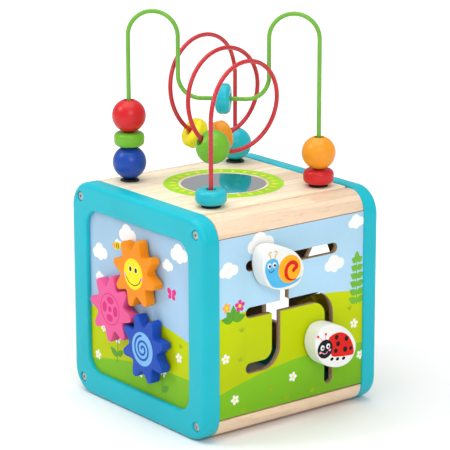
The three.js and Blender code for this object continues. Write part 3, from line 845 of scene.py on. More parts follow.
class ACTIVITY_CUBE_OT_frames(CubePiece, Operator):
    """Teal end frames with soft edges, a stepped opening and four countersunk holes each"""
    bl_idname = "activity_cube.frames"
    bl_label = "End frames"

    def make(self, c, maze):
        half, low, high = SIZE / 2, FRAME_BACK, HALF
        section = [(half - 0.8, FRAME_CORNER - 0.8, low), (half, FRAME_CORNER, low + 0.8)]
        for i in range(9):
            a = math.pi / 2 * i / 8
            inset = FRAME_EDGE * (1 - math.cos(a))
            section.append((half - inset, FRAME_CORNER - inset, high - FRAME_EDGE * (1 - math.sin(a))))
        for i in range(6):
            a = math.pi / 2 * i / 5
            inset = 1.6 * (1 - math.sin(a))
            section.append((OPENING + inset, OPENING_CORNER + inset, high - 1.6 * (1 - math.cos(a))))
        section += [(OPENING, OPENING_CORNER, high - LIP), (REBATE, REBATE_CORNER, high - LIP),
                    (REBATE, REBATE_CORNER, low + 0.5), (REBATE + 0.5, REBATE_CORNER + 0.5, low)]
        for side, face in (("left", LEFT), ("right", RIGHT)):
            loops = [[face.at(*p, w) for p in rounded_square(h, r, 0, half, 10)] for h, r, w in section]
            paint = finish("teal_paint", satin_paint, c.teal[:])
            frame_piece = draft(f"end_frame_{side}", loops, paint, close=True)
            hole = [(4.3, high - 4), (4.3, high - 0.9), (5.3, high + 0.1), (5.3, high + 1)]
            carve(frame_piece, [turned(face, hole, u, half + v, 40)
                                for u in (-SCREW_SIDE, SCREW_SIDE) for v in (-SCREW_HEIGHT, SCREW_HEIGHT)])
            settle(frame_piece, "cube", [f"frame_{side}"], 30)


class ACTIVITY_CUBE_OT_screws(CubePiece, Operator):
    """Cross-recessed screws that hold the rails, repeated from one original"""
    bl_idname = "activity_cube.screws"
    bl_label = "Screws"

    def make(self, c, maze):
        head = [(1.4, -30), (2, -28), (2, -2.4), (3.9, -1.2), (4, -0.7), (3.7, -0.25), (2.6, -0.03), (1, 0)]
        original = draft("screw_original", turned(PLAIN, head, steps=40))
        cross = []
        for turn in (0, math.pi / 2):
            bar = moved([(-2.3, -0.45), (2.3, -0.45), (2.3, 0.45), (-2.3, 0.45)], 0, 0, turn)
            tip = [(a * 0.45, b * 0.7) for a, b in bar]
            cross.append([[PLAIN.at(*p, w) for p in outline] for outline, w in ((tip, -1.6), (bar, 0.4))])
        carve(original, cross)
        places, nodes = [], []
        for side, face in (("left", LEFT), ("right", RIGHT)):
            for depth, u in (("front", SCREW_SIDE), ("back", -SCREW_SIDE)):
                for level, v in (("low", -SCREW_HEIGHT), ("high", SCREW_HEIGHT)):
                    turn = 0.35 + 1.3 * len(places)
                    places.append(face.matrix(u, SIZE / 2 + v, HALF - 1, turn))
                    nodes.append(f"screw_{side}_{depth}_{level}")
        repeated("frame_screws", original, places, steel(), nodes)


class ACTIVITY_CUBE_OT_boards(CubePiece, Operator):
    """The four printed boards: meadow on the outside, bare layered board elsewhere"""
    bl_idname = "activity_cube.boards"
    bl_label = "Printed boards"

    def make(self, c, maze):
        meadow = [c.sky[:], c.lime[:], c.leaf[:]]
        # The gear side's sky is a darker copy of the same printed sky: painted shade, for the shade that
        # falls on that side.
        gear_side_painted_shade = [linear("a9cbe9"), c.lime[:], c.leaf[:]]
        ends = [(94.5, 0.0017, -0.0017), (48.3, 0.115, -0.0009)]
        slopes = [(115.0, -0.02, -0.0009), (58.5, 0.1, -0.0012)]
        looks = {}
        for side, *values in (("gear", "X", -1, END_FACE, ("Y", -1), (0, CUBE_Y), ends, gear_side_painted_shade),
                              ("sorter", "X", 1, END_FACE, ("Y", 1), (0, CUBE_Y), ends, meadow),
                              ("slide", "Y", -1, SIDE_FACE, ("X", 1), (CUBE_Y, 0), slopes, meadow),
                              ("back", "Y", 1, SIDE_FACE, ("X", -1), (CUBE_Y, 0), slopes, meadow)):
            looks[side] = finish(f"{side}_board", printed_board, *values)
        dress("gear_panel", looks["gear"])
        dress("back_panel", looks["back"])
        square = rounded_square(80.7, 11.7, 0, SIZE / 2)
        self.board("sorter", RIGHT, square, END_FACE, 5.5, looks["sorter"], SORTER_HOLES.values())
        low, high = node_box("slide_panel")
        wide = (high.x - low.x) / 2
        outline = [(-wide, low.z), (wide, low.z), (wide, high.z), (-wide, high.z)]
        self.board("slide", FRONT, outline, SIDE_FACE, high.y - low.y, looks["slide"], self.tracks())

    def board(self, side, face, outline, surface, thick, material, holes):
        levels = (surface - thick, surface)
        piece = draft(f"{side}_board", [[face.at(*p, w) for p in outline] for w in levels], material)
        levels = (surface - thick - 1, surface + 1)
        carve(piece, [[[face.at(*p, w) for p in hole] for w in levels] for hole in holes])
        bevel = piece.modifiers.new("edges", "BEVEL")
        bevel.width, bevel.segments, bevel.limit_method = 0.45 * MM, 2, "ANGLE"
        bevel.angle_limit = math.radians(50)
        bake(piece)
        settle(piece, "cube", [f"{side}_panel"], 40)

    def tracks(self):
        """The slots' outlines: straight runs with round ends, and two quarter bends that overlap them."""
        half = TRACK / 2
        runs = [((-47.2, 153), (46.2, 153)), ((-9, 153), (-9, 111)), ((-47.2, 111), (24, 111)),
                ((42, 93), (42, 33)), ((-18.3, 111), (-18.3, 75)), ((-32.8, 60.5), (-47.2, 60.5))]
        holes = []
        for i, (a, b) in enumerate(runs):
            facing = math.degrees(math.atan2(b[1] - a[1], b[0] - a[0]))
            grown = half + 0.002 * i
            end = arc(*b, grown, facing - 90, facing + 90, 16)
            holes.append(end + arc(*a, grown, facing + 90, facing + 270, 16))
        for u, v, radius, first in ((24, 93, 18, 0), (-32.8, 75, 14.5, -90)):
            outer, inner = (arc(u, v, r, first - 5, first + 95, 20) for r in (radius + half, radius - half))
            holes.append(outer + inner[::-1])
        return holes


class ACTIVITY_CUBE_OT_rails(CubePiece, Operator):
    """Four quarter-round rails between the end frames"""
    bl_idname = "activity_cube.rails"
    bl_label = "Rails"

    def make(self, c, maze):
        low, high = node_box("rail_top_front")
        length, foot = high.x, low.z
        radius = RAIL_TOP - foot
        rounding = arc(RAIL_OUTER - radius, foot, radius, 0, 90, 14)
        ledge_z = node_box("top_panel")[0].z - 0.3
        top = [(RAIL_OUTER - 0.6, foot), (RAIL_OUTER, foot + 0.6)] + rounding[1:]
        top += [(RAIL_INNER, RAIL_TOP), (RAIL_INNER, ledge_z), (RAIL_INNER - RAIL_LEDGE, ledge_z),
                (RAIL_INNER - RAIL_LEDGE, foot)]
        bottom = [(u, SIZE - v) for u, v in top[:-3] + [(RAIL_INNER, foot)]]
        wood = finish("rail_wood", lacquered_wood, c.tan[:], shade(c.tan, 0.8), stave=60, seed=3)
        for side, face in (("front", LEFT), ("back", RIGHT)):
            for level, outline in (("top", top), ("bottom", bottom)):
                loops = slab_loops(face, outline, -length, length, 0.3, 2, 0.3)
                node = f"rail_{level}_{side}"
                whole(f"{node}_wood", loops, wood, "bare_wood", node, 30)


class ACTIVITY_CUBE_OT_top(CubePiece, Operator):
    """The glued wooden top with its round mirror"""
    bl_idname = "activity_cube.top"
    bl_label = "Top board and mirror"

    def make(self, c, maze):
        low, high = node_box("top_panel")
        front = -(high.y - CUBE_Y)
        outline = filleted([(low.x, front), (high.x, front), (high.x, -front), (low.x, -front)], 1.6, 4)
        wood = finish("top_wood", lacquered_wood, c.cream[:], linear("e9c7a2"), stave=25.5, seed=4)
        board = draft("top_board", slab_loops(TOP, outline, low.z, TOP_Z, 0.7, 3, 0.3), wood)
        recess = [(38.1, TOP_Z - 2.3), (38.1, TOP_Z - 0.3), (38.5, TOP_Z + 0.1), (38.5, TOP_Z + 1)]
        carve(board, [turned(TOP, recess, steps=128)])
        settle(board, "cube", ["top_panel"], 30)
        edge = [(37.5, TOP_Z - 2), (37.8, TOP_Z - 1.7), (37.8, TOP_Z - 0.4), (37.5, TOP_Z - 0.1)]
        glass = finish("safety_mirror", safety_mirror)
        whole("mirror_disc", turned(TOP, edge, steps=128), glass, "mirror", "mirror", 20)
        for spot, _, _ in LEGS:
            dress(f"wire_nut_{spot}", steel())


# ---------------------------------------------------------------- what moves on the faces
GEARS = {"sun": (6.3, 135.1), "pink": (-30.36, 94.1), "blue": (18.65, 69.13)}


def gear_phases():
    """Tooth angles of the three gears, each meshed with the one before along the line between them."""
    phases = {"sun": math.radians(34)}
    for name, before, line in (("pink", "sun", 228.2), ("blue", "pink", -27)):
        phases[name] = 2 * math.radians(line) + math.pi - phases[before] - math.pi / GEAR_TEETH
    return phases


class ACTIVITY_CUBE_OT_gears(CubePiece, Operator):
    """Three wooden gears with eight soft teeth each, and their printed faces"""
    bl_idname = "activity_cube.gears"
    bl_label = "Gears"

    def make(self, c, maze):
        looks = {"sun": c.gear_orange[:], "pink": c.gear_pink[:], "blue": c.gear_blue[:]}
        phases = gear_phases()
        for name, (u, v) in GEARS.items():
            slot = {"sun": "orange_gear"}.get(name, f"{name}_gear")
            paint = finish(f"{name}_gear_paint", satin_paint, looks[name], 0.42, 0.05)
            points = []
            for i in range(GEAR_TEETH):
                middle = phases[name] + math.tau * i / GEAR_TEETH
                corners = [(r, middle - a) for r, a in GEAR_TOOTH]
                corners += [(r, middle + a) for r, a in GEAR_TOOTH[::-1]]
                points += [(u + r * math.cos(a), v + r * math.sin(a)) for r, a in corners]
            loops = slab_loops(LEFT, filleted(points, 1.5), GEAR_BACK, GEAR_FRONT - PROUD, 0.9, 4, 0.5)
            whole(f"{name}_gear_wheel", loops, paint, slot, f"gear_{name}", 40, f"{name}_gear")
            dress(f"gear_axle_{name}", peg_wood(c))
            dress(f"gear_spacer_{name}", finish("white_plastic", moulded_plastic, linear("e9e9e6"), 0.35))
        self.sun_face(*GEARS["sun"])
        self.flower_face(*GEARS["pink"])
        self.spiral_face(*GEARS["blue"])

    def sun_face(self, u, v):
        p = Picture("sun_face", LEFT, GEAR_FRONT - PROUD, "sun_gear", "orange_gear")
        p.shape(circle(u, v, 14, 72), inked("yellow"))
        for side in (-1, 1):
            eu, ev = u + side * 4.1, v + 4
            p.shape(ellipse(eu, ev, 2.5, 3, 0, 28), inked("pale_yellow"), 2)
            p.shape(ellipse(eu, ev, 1.75, 2.3, 0, 24), inked("black"), 3)
            p.shape(circle(u + side * 12.4, v - 2.6 + 0.6 * side, 1.7, 28), inked("pink"), 2)
        p.stroke(arc(u, v + 2.1, 12.2, 213, 339, 20), 0.9, inked("brown"), 2)
        p.build()

    def flower_face(self, u, v):
        p = Picture("flower_face", LEFT, GEAR_FRONT - PROUD, "pink_gear", "pink_gear")
        deep = inked("deep_pink")
        p.band(circle(u, v, 14.3, 80), -0.4, 0.4, deep)
        for i in range(4):
            a = 1.5 + math.tau * i / 4
            p.shape(ellipse(u + 8.3 * math.cos(a), v + 8.3 * math.sin(a), 3.3, 4.9, a, 32), deep)
        p.shape(circle(u, v, 5), inked("gear_pink"), 2)
        p.shape(circle(u, v, 2.6), deep, 3)
        p.build()

    def spiral_face(self, u, v):
        p = Picture("spiral_face", LEFT, GEAR_FRONT - PROUD, "blue_gear", "blue_gear")
        p.shape(circle(u, v, 15.4, 80), inked("light_blue"))
        turns = [(u + r * math.cos(a), v + r * math.sin(a))
                 for r, a in [(1.5 + 10.6 * i / 90, 3 - 2.2 * math.tau * i / 90) for i in range(91)]]
        p.stroke(turns, 2.1, inked("deep_blue"), 2)
        p.build()


class ACTIVITY_CUBE_OT_knobs(CubePiece, Operator):
    """The snail and ladybird knobs that slide on the front"""
    bl_idname = "activity_cube.knobs"
    bl_label = "Sliding knobs"

    def make(self, c, maze):
        white = finish("white_knob_paint", satin_paint, linear("efefec"), 0.34, 0.12)
        for name, points, at in (("snail", SNAIL_OUTLINE, SNAIL_AT),
                                 ("ladybird", LADYBIRD_OUTLINE, LADYBIRD_AT)):
            outline = smooth_loop(moved(points, *at))
            loops = slab_loops(FRONT, outline, KNOB_BACK, KNOB_FRONT - PROUD, 2, 6, 1)
            whole(f"{name}_tile", loops, white, "printed_block", f"{name}_knob", 40, name)
            dress(f"{name}_peg", peg_wood(c))
        self.snail()
        self.ladybird()

    def snail(self):
        p = Picture("snail_print", FRONT, KNOB_FRONT - PROUD, "snail", "printed_block")
        neck = [(-45.3, 154), (-43.5, 159.5), (-38, 161.8), (-32.5, 160), (-29.8, 154), (-28, 146),
                (-20, 140), (-8, 139.5), (-5, 141), (-9, 137), (-18, 134.6), (-30, 134.4), (-37.5, 137),
                (-42.3, 143.5), (-44.6, 149)]
        p.shape(smooth_loop(neck, 6), inked("snail_blue"))
        p.shape(circle(-18.3, 149.4, 12.4, 72), inked("shell"), 2)
        whorl = smooth_line([(-13.9, 147.6), (-10.6, 150.3), (-12.4, 153.8), (-17, 154.7), (-21.2, 151.5),
                             (-22.4, 146.8), (-21, 142.4), (-17.3, 139.6), (-11.4, 139.7)])
        p.stroke(whorl[:47], 3.7, inked("red"), 3)
        p.stroke(whorl[44:], 3.7, inked("red"), 3, taper=True)
        for u, lean in ((-38.8, -0.2), (-34.8, 0.25)):
            side = 1 if lean > 0 else -1
            stalk = [(u + lean * 5 * t, 161 + 4 * t) for t in [i / 8 for i in range(9)]]
            stalk += [(u + lean * 5 + 1.3 * math.sin(a) * side, 165.1 + 1.3 * (1 - math.cos(a)))
                      for a in [math.pi * 1.3 * i / 10 for i in range(1, 11)]]
            p.stroke(stalk, 0.9, inked("olive"), 2)
        for u in (-40.6, -35.2):
            p.shape(ellipse(u, 155.8, 2.1, 2.4, 0, 28), inked("white"), 2)
            p.shape(circle(u + 0.4, 155.4, 1.25, 20), inked("black"), 3)
        p.stroke(arc(-38.4, 152.2, 3, 200, 340, 12, 2.2), 0.6, inked("black"), 2)
        p.build()

    def ladybird(self):
        p = Picture("ladybird_print", FRONT, KNOB_FRONT - PROUD, "ladybird", "printed_block")
        black, red = inked("black"), inked("red")
        for u, v in ((30.7, 57.7), (37.2, 56.6), (44.3, 55.8)):
            p.shape(ellipse(u, v, 1.9, 1.5, 0.2, 24), black)
        dome = [(27, 77.5), (33.5, 80.6), (41.5, 80.4), (48.5, 76.5), (53.5, 69.5), (56, 61.5),
                (55.4, 57.6), (48, 57.4), (38, 58.6), (31, 60.4), (28.5, 66)]
        p.shape(smooth_loop(dome, 6), red)
        for u, v, r in ((35.8, 77, 2.1), (47.4, 73.6, 2.2), (37.6, 70.6, 2.2), (35, 64.4, 2),
                        (45.9, 64, 2.4), (52.4, 63.6, 1.7)):
            p.shape(ellipse(u, v, r, r * 1.1, 0.3, 28), black, 2)
        p.shape(circle(22.7, 68.6, 8.6, 60), black, 2)
        for u, v in ((19.6, 70.2), (26, 70.7)):
            p.shape(ellipse(u, v, 2.2, 2.5, 0, 28), inked("white"), 3)
            p.shape(circle(u + 0.4, v - 0.3, 1.1, 20), black, 4)
        for u, v in ((17.3, 66.2), (28, 66.8)):
            p.shape(ellipse(u, v, 1.6, 1.1, 0, 24), inked("pink"), 3)
        p.stroke(arc(22.6, 66.4, 3, 200, 340, 12, 2.2), 0.7, inked("pink"), 3)
        for tip, bend in (((14.4, 81.4), (17.5, 79.5)), ((23.4, 82.2), (22.6, 79.5))):
            foot = (19.5, 76.4) if tip[0] < 20 else (23.6, 77)
            line = [((1 - t) ** 2 * foot[0] + 2 * t * (1 - t) * bend[0] + t * t * tip[0],
                     (1 - t) ** 2 * foot[1] + 2 * t * (1 - t) * bend[1] + t * t * tip[1])
                    for t in [i / 10 for i in range(11)]]
            p.stroke(line, 0.8, inked("pink"), 1)
            p.shape(circle(*tip, 1.2, 20), red, 2)
        p.build()


class ACTIVITY_CUBE_OT_blocks(CubePiece, Operator):
    """The round and six-sided blocks that sit in the sorter's holes"""
    bl_idname = "activity_cube.blocks"
    bl_label = "Sorter blocks"

    def make(self, c, maze):
        low, high = node_box("block_round")
        hexagon = filleted(polygon(6, 38 / math.sqrt(3), -30, 65.3), 1.5)
        disc = circle(32, 129.3, 20, 72)
        for name, outline, colour in (("round", disc, "red"), ("hexagon", hexagon, "yellow")):
            slot = f"{colour}_lacquer"
            lacquer = finish(slot, gloss_lacquer, getattr(c, colour)[:])
            loops = slab_loops(RIGHT, outline, low.x, high.x, 1.4, 4, 1.4)
            whole(f"{name}_block_piece", loops, lacquer, slot, f"block_{name}", 40, f"{name}_block")


# ---------------------------------------------------------------- bead maze
def ball_profile():
    end = math.degrees(math.acos((BEAD_HOLE + 0.7) / BALL_RADIUS))
    outside = arc(0, 0, BALL_RADIUS, -end, end, 30)
    half = outside[-1][1]
    return outside + [(BEAD_HOLE + 0.15, half - 0.15), (BEAD_HOLE, half - 0.9), (BEAD_HOLE, 0.9 - half),
                      (BEAD_HOLE + 0.15, 0.15 - half)]


def disc_profile():
    half, fillet = DISC_THICK / 2, 4.5
    low = arc(DISC_RADIUS - fillet, fillet - half, fillet, -90, 0, 8)
    high = arc(DISC_RADIUS - fillet, half - fillet, fillet, 0, 90, 8)
    return low + high + [(BEAD_HOLE + 0.7, half), (BEAD_HOLE + 0.15, half - 0.2), (BEAD_HOLE, half - 0.8),
                         (BEAD_HOLE, 0.8 - half), (BEAD_HOLE + 0.15, 0.2 - half), (BEAD_HOLE + 0.7, -half)]


def arch_points():
    """The green wire: up a leg, over, down into the valley, and the same on the other side."""
    leg = LEG * math.sqrt(2)
    top, top_r = (leg + ARCH_INNER) / 2, (leg - ARCH_INNER) / 2
    half = [(-leg, WIRE_FOOT), (-leg, 260)]
    half += arc(-top, ARCH_STRAIGHT, top_r, 180, 0, 28)
    half += arc(ARCH_BEND_R - ARCH_INNER, ARCH_BEND_Z, ARCH_BEND_R, 180, 270, 14)
    points = half + [(-s, z) for s, z in half[::-1]]
    return [(s * math.sqrt(0.5), CUBE_Y - s * math.sqrt(0.5), z) for s, z in points]


def spiral_point(maze, t):
    """A point of the red wire's loops, at a share t of its turns."""
    angle = math.pi - t * maze.turns * math.tau
    ease = maze.ease
    length = t - ease / 2
    if t < ease:
        length = t * t / (2 * ease)
    if t > 1 - ease:
        length = 1 - ease - (1 - t) ** 2 / (2 * ease)
    share = length / (1 - ease)
    share += maze.sway * math.sin(math.tau * share)
    drift = (LEG - maze.spiral) * (2 * t - 1)
    return Vector((drift + maze.spiral * math.cos(angle), CUBE_Y - LEG + 2 * LEG * share,
                   maze.start + maze.rise * t + maze.spiral * math.sin(angle)))


class ACTIVITY_CUBE_OT_wires(CubePiece, Operator):
    """The two coated wires, swept along their paths by a geometry tree"""
    bl_idname = "activity_cube.wires"
    bl_label = "Wires"

    def make(self, c, maze):
        green = finish("green_coat", powder_coat, c.wire_green[:])
        along("arch_wire", arch_points(), maze.wire, maze.sides, green, "green_wire", ["wire_green"])
        loops = [spiral_point(maze, i / 220) for i in range(221)]
        ends = [[(p.x, p.y, WIRE_FOOT), (p.x, p.y, WIRE_FOOT + 50), (p.x, p.y, p.z - 6)]
                for p in (loops[0], loops[-1])]
        points = ends[0] + loops + ends[1][::-1]
        red = finish("red_coat", powder_coat, c.wire_red[:])
        along("spiral_wire", points, maze.wire, maze.sides, red, "red_wire", ["wire_red"])


class ACTIVITY_CUBE_OT_grommets(CubePiece, Operator):
    """Black plastic collars where the wires enter the top, repeated from one original"""
    bl_idname = "activity_cube.grommets"
    bl_label = "Grommets"

    def make(self, c, maze):
        low, high = node_box("grommet_front_left")
        rim, crown = (high.x - low.x) / 2, high.z
        section = [(2.2, low.z), (6, low.z), (6, TOP_Z + 0.1), (rim - 0.2, TOP_Z + 0.1), (rim, TOP_Z + 0.5),
                   (rim - 0.25, TOP_Z + 1.1), (rim - 1.2, TOP_Z + 1.8), (rim - 2.8, crown - 0.15),
                   (rim - 3.8, crown), (3.4, crown), (2.9, crown - 0.3), (2.8, crown - 1.2),
                   (2.2, crown - 1.6)]
        original = draft("grommet_original", turned(PLAIN, section, steps=48), close=True)
        places = [Matrix.Translation(Vector((x * LEG, y * LEG + CUBE_Y, 0)) * MM) for _, x, y in LEGS]
        black = finish("black_plastic", moulded_plastic, linear("1b1b1d"))
        nodes = [f"grommet_{spot}" for spot, _, _ in LEGS]
        repeated("wire_grommets", original, places, black, nodes)


class ACTIVITY_CUBE_OT_beads(CubePiece, Operator):
    """Eleven turned and lacquered beads, each on its own body"""
    bl_idname = "activity_cube.beads"
    bl_label = "Beads"

    def make(self, c, maze):
        upright = ["left_blue_ball", "left_green_disc", "left_red_ball", "right_red_disc",
                   "right_orange_ball", "front_teal_disc", "back_teal_ball"]
        spots = {name: (node_centre(f"bead_{name}"), Vector((0, 0, 1))) for name in upright}
        spots["valley_teal_disc"] = (node_centre("bead_valley_teal_disc"), Vector((1, -1, 0)))
        for name, degrees, inset in (("loop_green_ball", -118, 0.8), ("loop_orange_disc", -441, 0),
                                     ("loop_yellow_disc", -479, 0)):
            t = (180 - degrees) / (360 * maze.turns)
            before, here, after = (spiral_point(maze, t + d) for d in (-0.001, 0, 0.001))
            inward = ((after - here).normalized() - (here - before).normalized()).normalized()
            spots[name] = (here + inward * inset, after - before)
        for name, (centre, direction) in spots.items():
            kind = name.split("_")[1]
            paint = finish(f"{kind}_lacquer", gloss_lacquer, getattr(c, kind)[:])
            out = direction.normalized()
            right = out.orthogonal().normalized()
            face = Face(right, out.cross(right), out, centre)
            profile = ball_profile() if name.endswith("ball") else disc_profile()
            loops = turned(face, profile, steps=72)
            whole(f"{name}_bead", loops, paint, f"{kind}_lacquer", f"bead_{name}", 30, name, True)


# ---------------------------------------------------------------- prints
def flowers(name, face, surface, spots, petals="white"):
    """Five-petalled flowers with yellow hearts, repeated from two originals."""
    places = [face.matrix(u, v, surface, turn) @ Matrix.Scale(size, 4) for u, v, size, turn in spots]
    bloom = draft("petals", slab_loops(PLAIN, blossom(4.6, 5, 0.35), -INK, INK))
    repeated(f"{name}_petals", bloom, places, inked(petals))
    heart = draft("heart", slab_loops(PLAIN, circle(0, 0, 1.3, 24), -INK, 2 * INK))
    repeated(f"{name}_hearts", heart, places, inked("yellow"))


def plant(p, stem, width, leaves, green):
    p.stroke(stem, width, green, 1)
    for u, v, length, wide, degrees in leaves:
        p.shape(leaf(u, v, length, wide, math.radians(degrees)), green, 1)


def tufts(p, spots):
    """Small fans of three pointed blades, hardly darker than the hills."""
    straw = inked("tuft")
    for u, v, size in spots:
        for degrees in (52, 90, 128):
            p.shape(leaf(u, v, size * 0.8, size * 0.2, math.radians(degrees), 8), straw)


class ACTIVITY_CUBE_OT_prints(CubePiece, Operator):
    """Clouds, flowers, plants and small creatures printed on the boards"""
    bl_idname = "activity_cube.prints"
    bl_label = "Printed details"

    def make(self, c, maze):
        self.gear_side()
        self.slide_side()
        self.sorter_side()
        self.back_side()
        self.top_side()

    def clouds(self, p, spots):
        for u, v, wide in spots:
            s = wide / 20
            p.shape(puffs([(u - 6 * s, v - 1 * s, 4.4 * s), (u - 1 * s, v + 1.8 * s, 6 * s),
                           (u + 5.6 * s, v, 4.6 * s), (u, v - 2.2 * s, 4.6 * s)]), inked("white"))

    def gear_side(self):
        p = Picture("gear_side_print", LEFT, END_FACE)
        self.clouds(p, [(-17.8, 163.5, 25), (-60.8, 138.4, 22), (58.9, 162.5, 24), (42, 148.8, 15),
                           (-62.2, 115.6, 12)])
        green = inked("grass")
        plant(p, [(-35.3, 61.8), (-35.4, 54), (-36.9, 40.1)], 1.3,
              [(-36, 46, 13, 6.6, 150), (-35.6, 47, 11, 6, 35)], green)
        plant(p, [(33.3, 48.3), (32.4, 39), (31.9, 30.1)], 1.3, [(32, 32, 12, 6.4, 30)], green)
        tufts(p, [(62.6, 42, 8), (-14, 86, 5), (60, 78, 6)])
        self.bee(p, -33.6, 150.2)
        self.butterfly(p, 47.4, 124.2)
        p.build()
        flowers("gear_side", LEFT, END_FACE,
                [(-66.8, 39.9, 1, 0.2), (57.1, 68.6, 1, 0.5), (-0.7, 39.6, 0.9, 0.1),
                 (-57.7, 67.7, 0.85, 0.9), (-35.2, 63, 1.05, 0.3), (33.4, 49.5, 1.05, 0)])

    def bee(self, p, u, v):
        p.shape(ellipse(u - 1, v + 3.6, 3.4, 2.2, 0.9, 30), inked("white"))
        p.shape(ellipse(u + 2.6, v + 3.2, 3, 2, 0.5, 30), inked("white"))
        p.shape(ellipse(u, v, 5.4, 3.7, 0.25, 40), inked("yellow"), 2)
        for off in (-1.2, 1.6):
            p.shape(ellipse(u + off, v + off * 0.25, 0.75, 3.3, 0.25, 24), inked("brown"), 3)
        p.shape(circle(u - 5, v - 0.6, 2.5, 30), inked("gold"), 2)

    def butterfly(self, p, u, v):
        magenta = inked("magenta")
        for side in (-1, 1):
            p.shape(ellipse(u + side * 3.2, v + 2, 3.6, 2.7, side * 0.7, 30), magenta)
            p.shape(ellipse(u + side * 2.6, v - 2.4, 2.7, 2.1, -side * 0.6, 30), magenta)
        p.shape(ellipse(u, v, 0.7, 3.8, 0, 20), inked("pink"), 2)

    def slide_side(self):
        p = Picture("slide_side_print", FRONT, SIDE_FACE)
        self.clouds(p, [(-35.5, 170.5, 28), (-70.5, 152.6, 20), (48, 138, 22), (73, 172.4, 18)])
        stem = [(74.5, 96.5), (74.2, 110), (74, 125), (74.2, 139)]
        pairs = [(74.4, 98 + 7.6 * i, 10.6 - 0.7 * i, 6.4, a) for i in range(6) for a in (28, 152)]
        plant(p, stem, 1.2, pairs + [(74.2, 138, 7.5, 5.4, 90)], inked("fresh_grass"))
        for degrees, length in ((12, 14.5), (168, 13), (50, 12), (128, 11.5), (88, 14)):
            a = math.radians(degrees)
            p.shape(leaf(-66, 107.5, length, 7, a), inked("grass"))
            rib = moved([(t * length, 0) for t in (0.08, 0.45, 0.85)], -66, 107.5, a)
            p.stroke(rib, 0.7, inked("dark_grass"), taper=True)
        tufts(p, [(-56.4, 95, 7), (-58, 68.5, 7), (-54.7, 22, 7), (-23.9, 35, 7), (-6.5, 23, 7),
                  (23.5, 23.5, 7), (28.3, 84, 6), (66, 92, 6)])
        p.build()
        flowers("slide_side", FRONT, SIDE_FACE,
                [(-74.2, 74.2, 1, 0.4), (0.8, 42.7, 1, 0), (-63.9, 35.2, 1, 0.7), (71.6, 78.3, 1, 0.2),
                 (79.4, 47.4, 0.95, 1)])
        flowers("slide_side_pink", FRONT, SIDE_FACE + 2 * INK, [(-58.6, 119.5, 1.2, 0.3)], "magenta")
        flowers("slide_side_gold", FRONT, SIDE_FACE + 2 * INK, [(-73, 120, 1, 0.6)], "gold")

    def sorter_side(self):
        p = Picture("sorter_side_print", RIGHT, END_FACE)
        rings = {"circle": "red", "hexagon": "yellow", "triangle": "deep_blue", "square": "orange"}
        for hole, colour in rings.items():
            p.band(SORTER_HOLES[hole], 1.4, 3.6, inked(colour))
        self.clouds(p, [(-62, 150, 18), (0, 163, 22), (63, 158, 18)])
        tufts(p, [(-64, 40, 8), (0, 34, 8), (66, 40, 8), (2, 86, 6), (-66, 88, 6)])
        p.build()
        flowers("sorter_side", RIGHT, END_FACE, [(0, 50, 1, 0.2), (64, 92, 1, 0.6), (-64, 55, 0.9, 0)])

    def back_side(self):
        p = Picture("back_side_print", BACK, SIDE_FACE)
        self.clouds(p, [(-48, 160, 30), (2, 148, 22), (52, 163, 28)])
        plant(p, [(-46, 44), (-45, 70), (-46, 92)], 1.6,
              [(-45.6, 56, 15, 6, 30), (-45.4, 62, 15, 6, 150), (-45.6, 74, 13, 5.4, 35)],
              inked("dark_grass"))
        tufts(p, [(-66, 70, 8), (-12, 60, 8), (22, 40, 8), (60, 66, 8), (4, 92, 7), (50, 100, 7)])
        p.build()
        flowers("back_side", BACK, SIDE_FACE, [(-46, 93, 1.6, 0.2), (30, 62, 1.2, 0.5), (64, 44, 1.1, 0.1),
                                                  (-14, 36, 1.1, 0.9)])

    def top_side(self):
        p = Picture("mirror_ring_print", TOP, TOP_Z, slot="bare_wood")
        p.band(circle(0, 0, 47.7, 160), -6.7, 6.7, inked("ring"))
        p.build()
        mark = draft("mark", slab_loops(PLAIN, leaf(0, 0, 7.5, 3.6, 0), -INK, 2 * INK))
        places = [TOP.matrix(42.5 * math.cos(a), 42.5 * math.sin(a), TOP_Z, a)
                  for a in [math.tau * i / 26 for i in range(26)]]
        repeated("mirror_ring_rays", mark, places, inked("ray"))


# ---------------------------------------------------------------- stage
WORLD_LIGHT = 0.5
FLOOR_GLOW = (0.25, 1.6, 0, 0.5)            # distances in metres, and the strengths there
LAMPS = [                                   # name, place in metres, size in metres and power in watts
    ("key", (-1.5, 0.9, 1.7), 0.8, 13),
    ("front", (-0.9, -2.0, 1.5), 1.2, 17),
    ("over", (-0.1, 0.1, 2.3), 2.4, 34),
]
CAMERA_AT = (-1175.4, -1520.0, 675.1)       # from under the cube's middle, in millimetres
CAMERA_TURN = (52.25, 14.98, -0.118)        # heading, downward tilt and roll, in degrees
CAMERA_LENS = 176.15                        # focal length for a 36 mm sensor


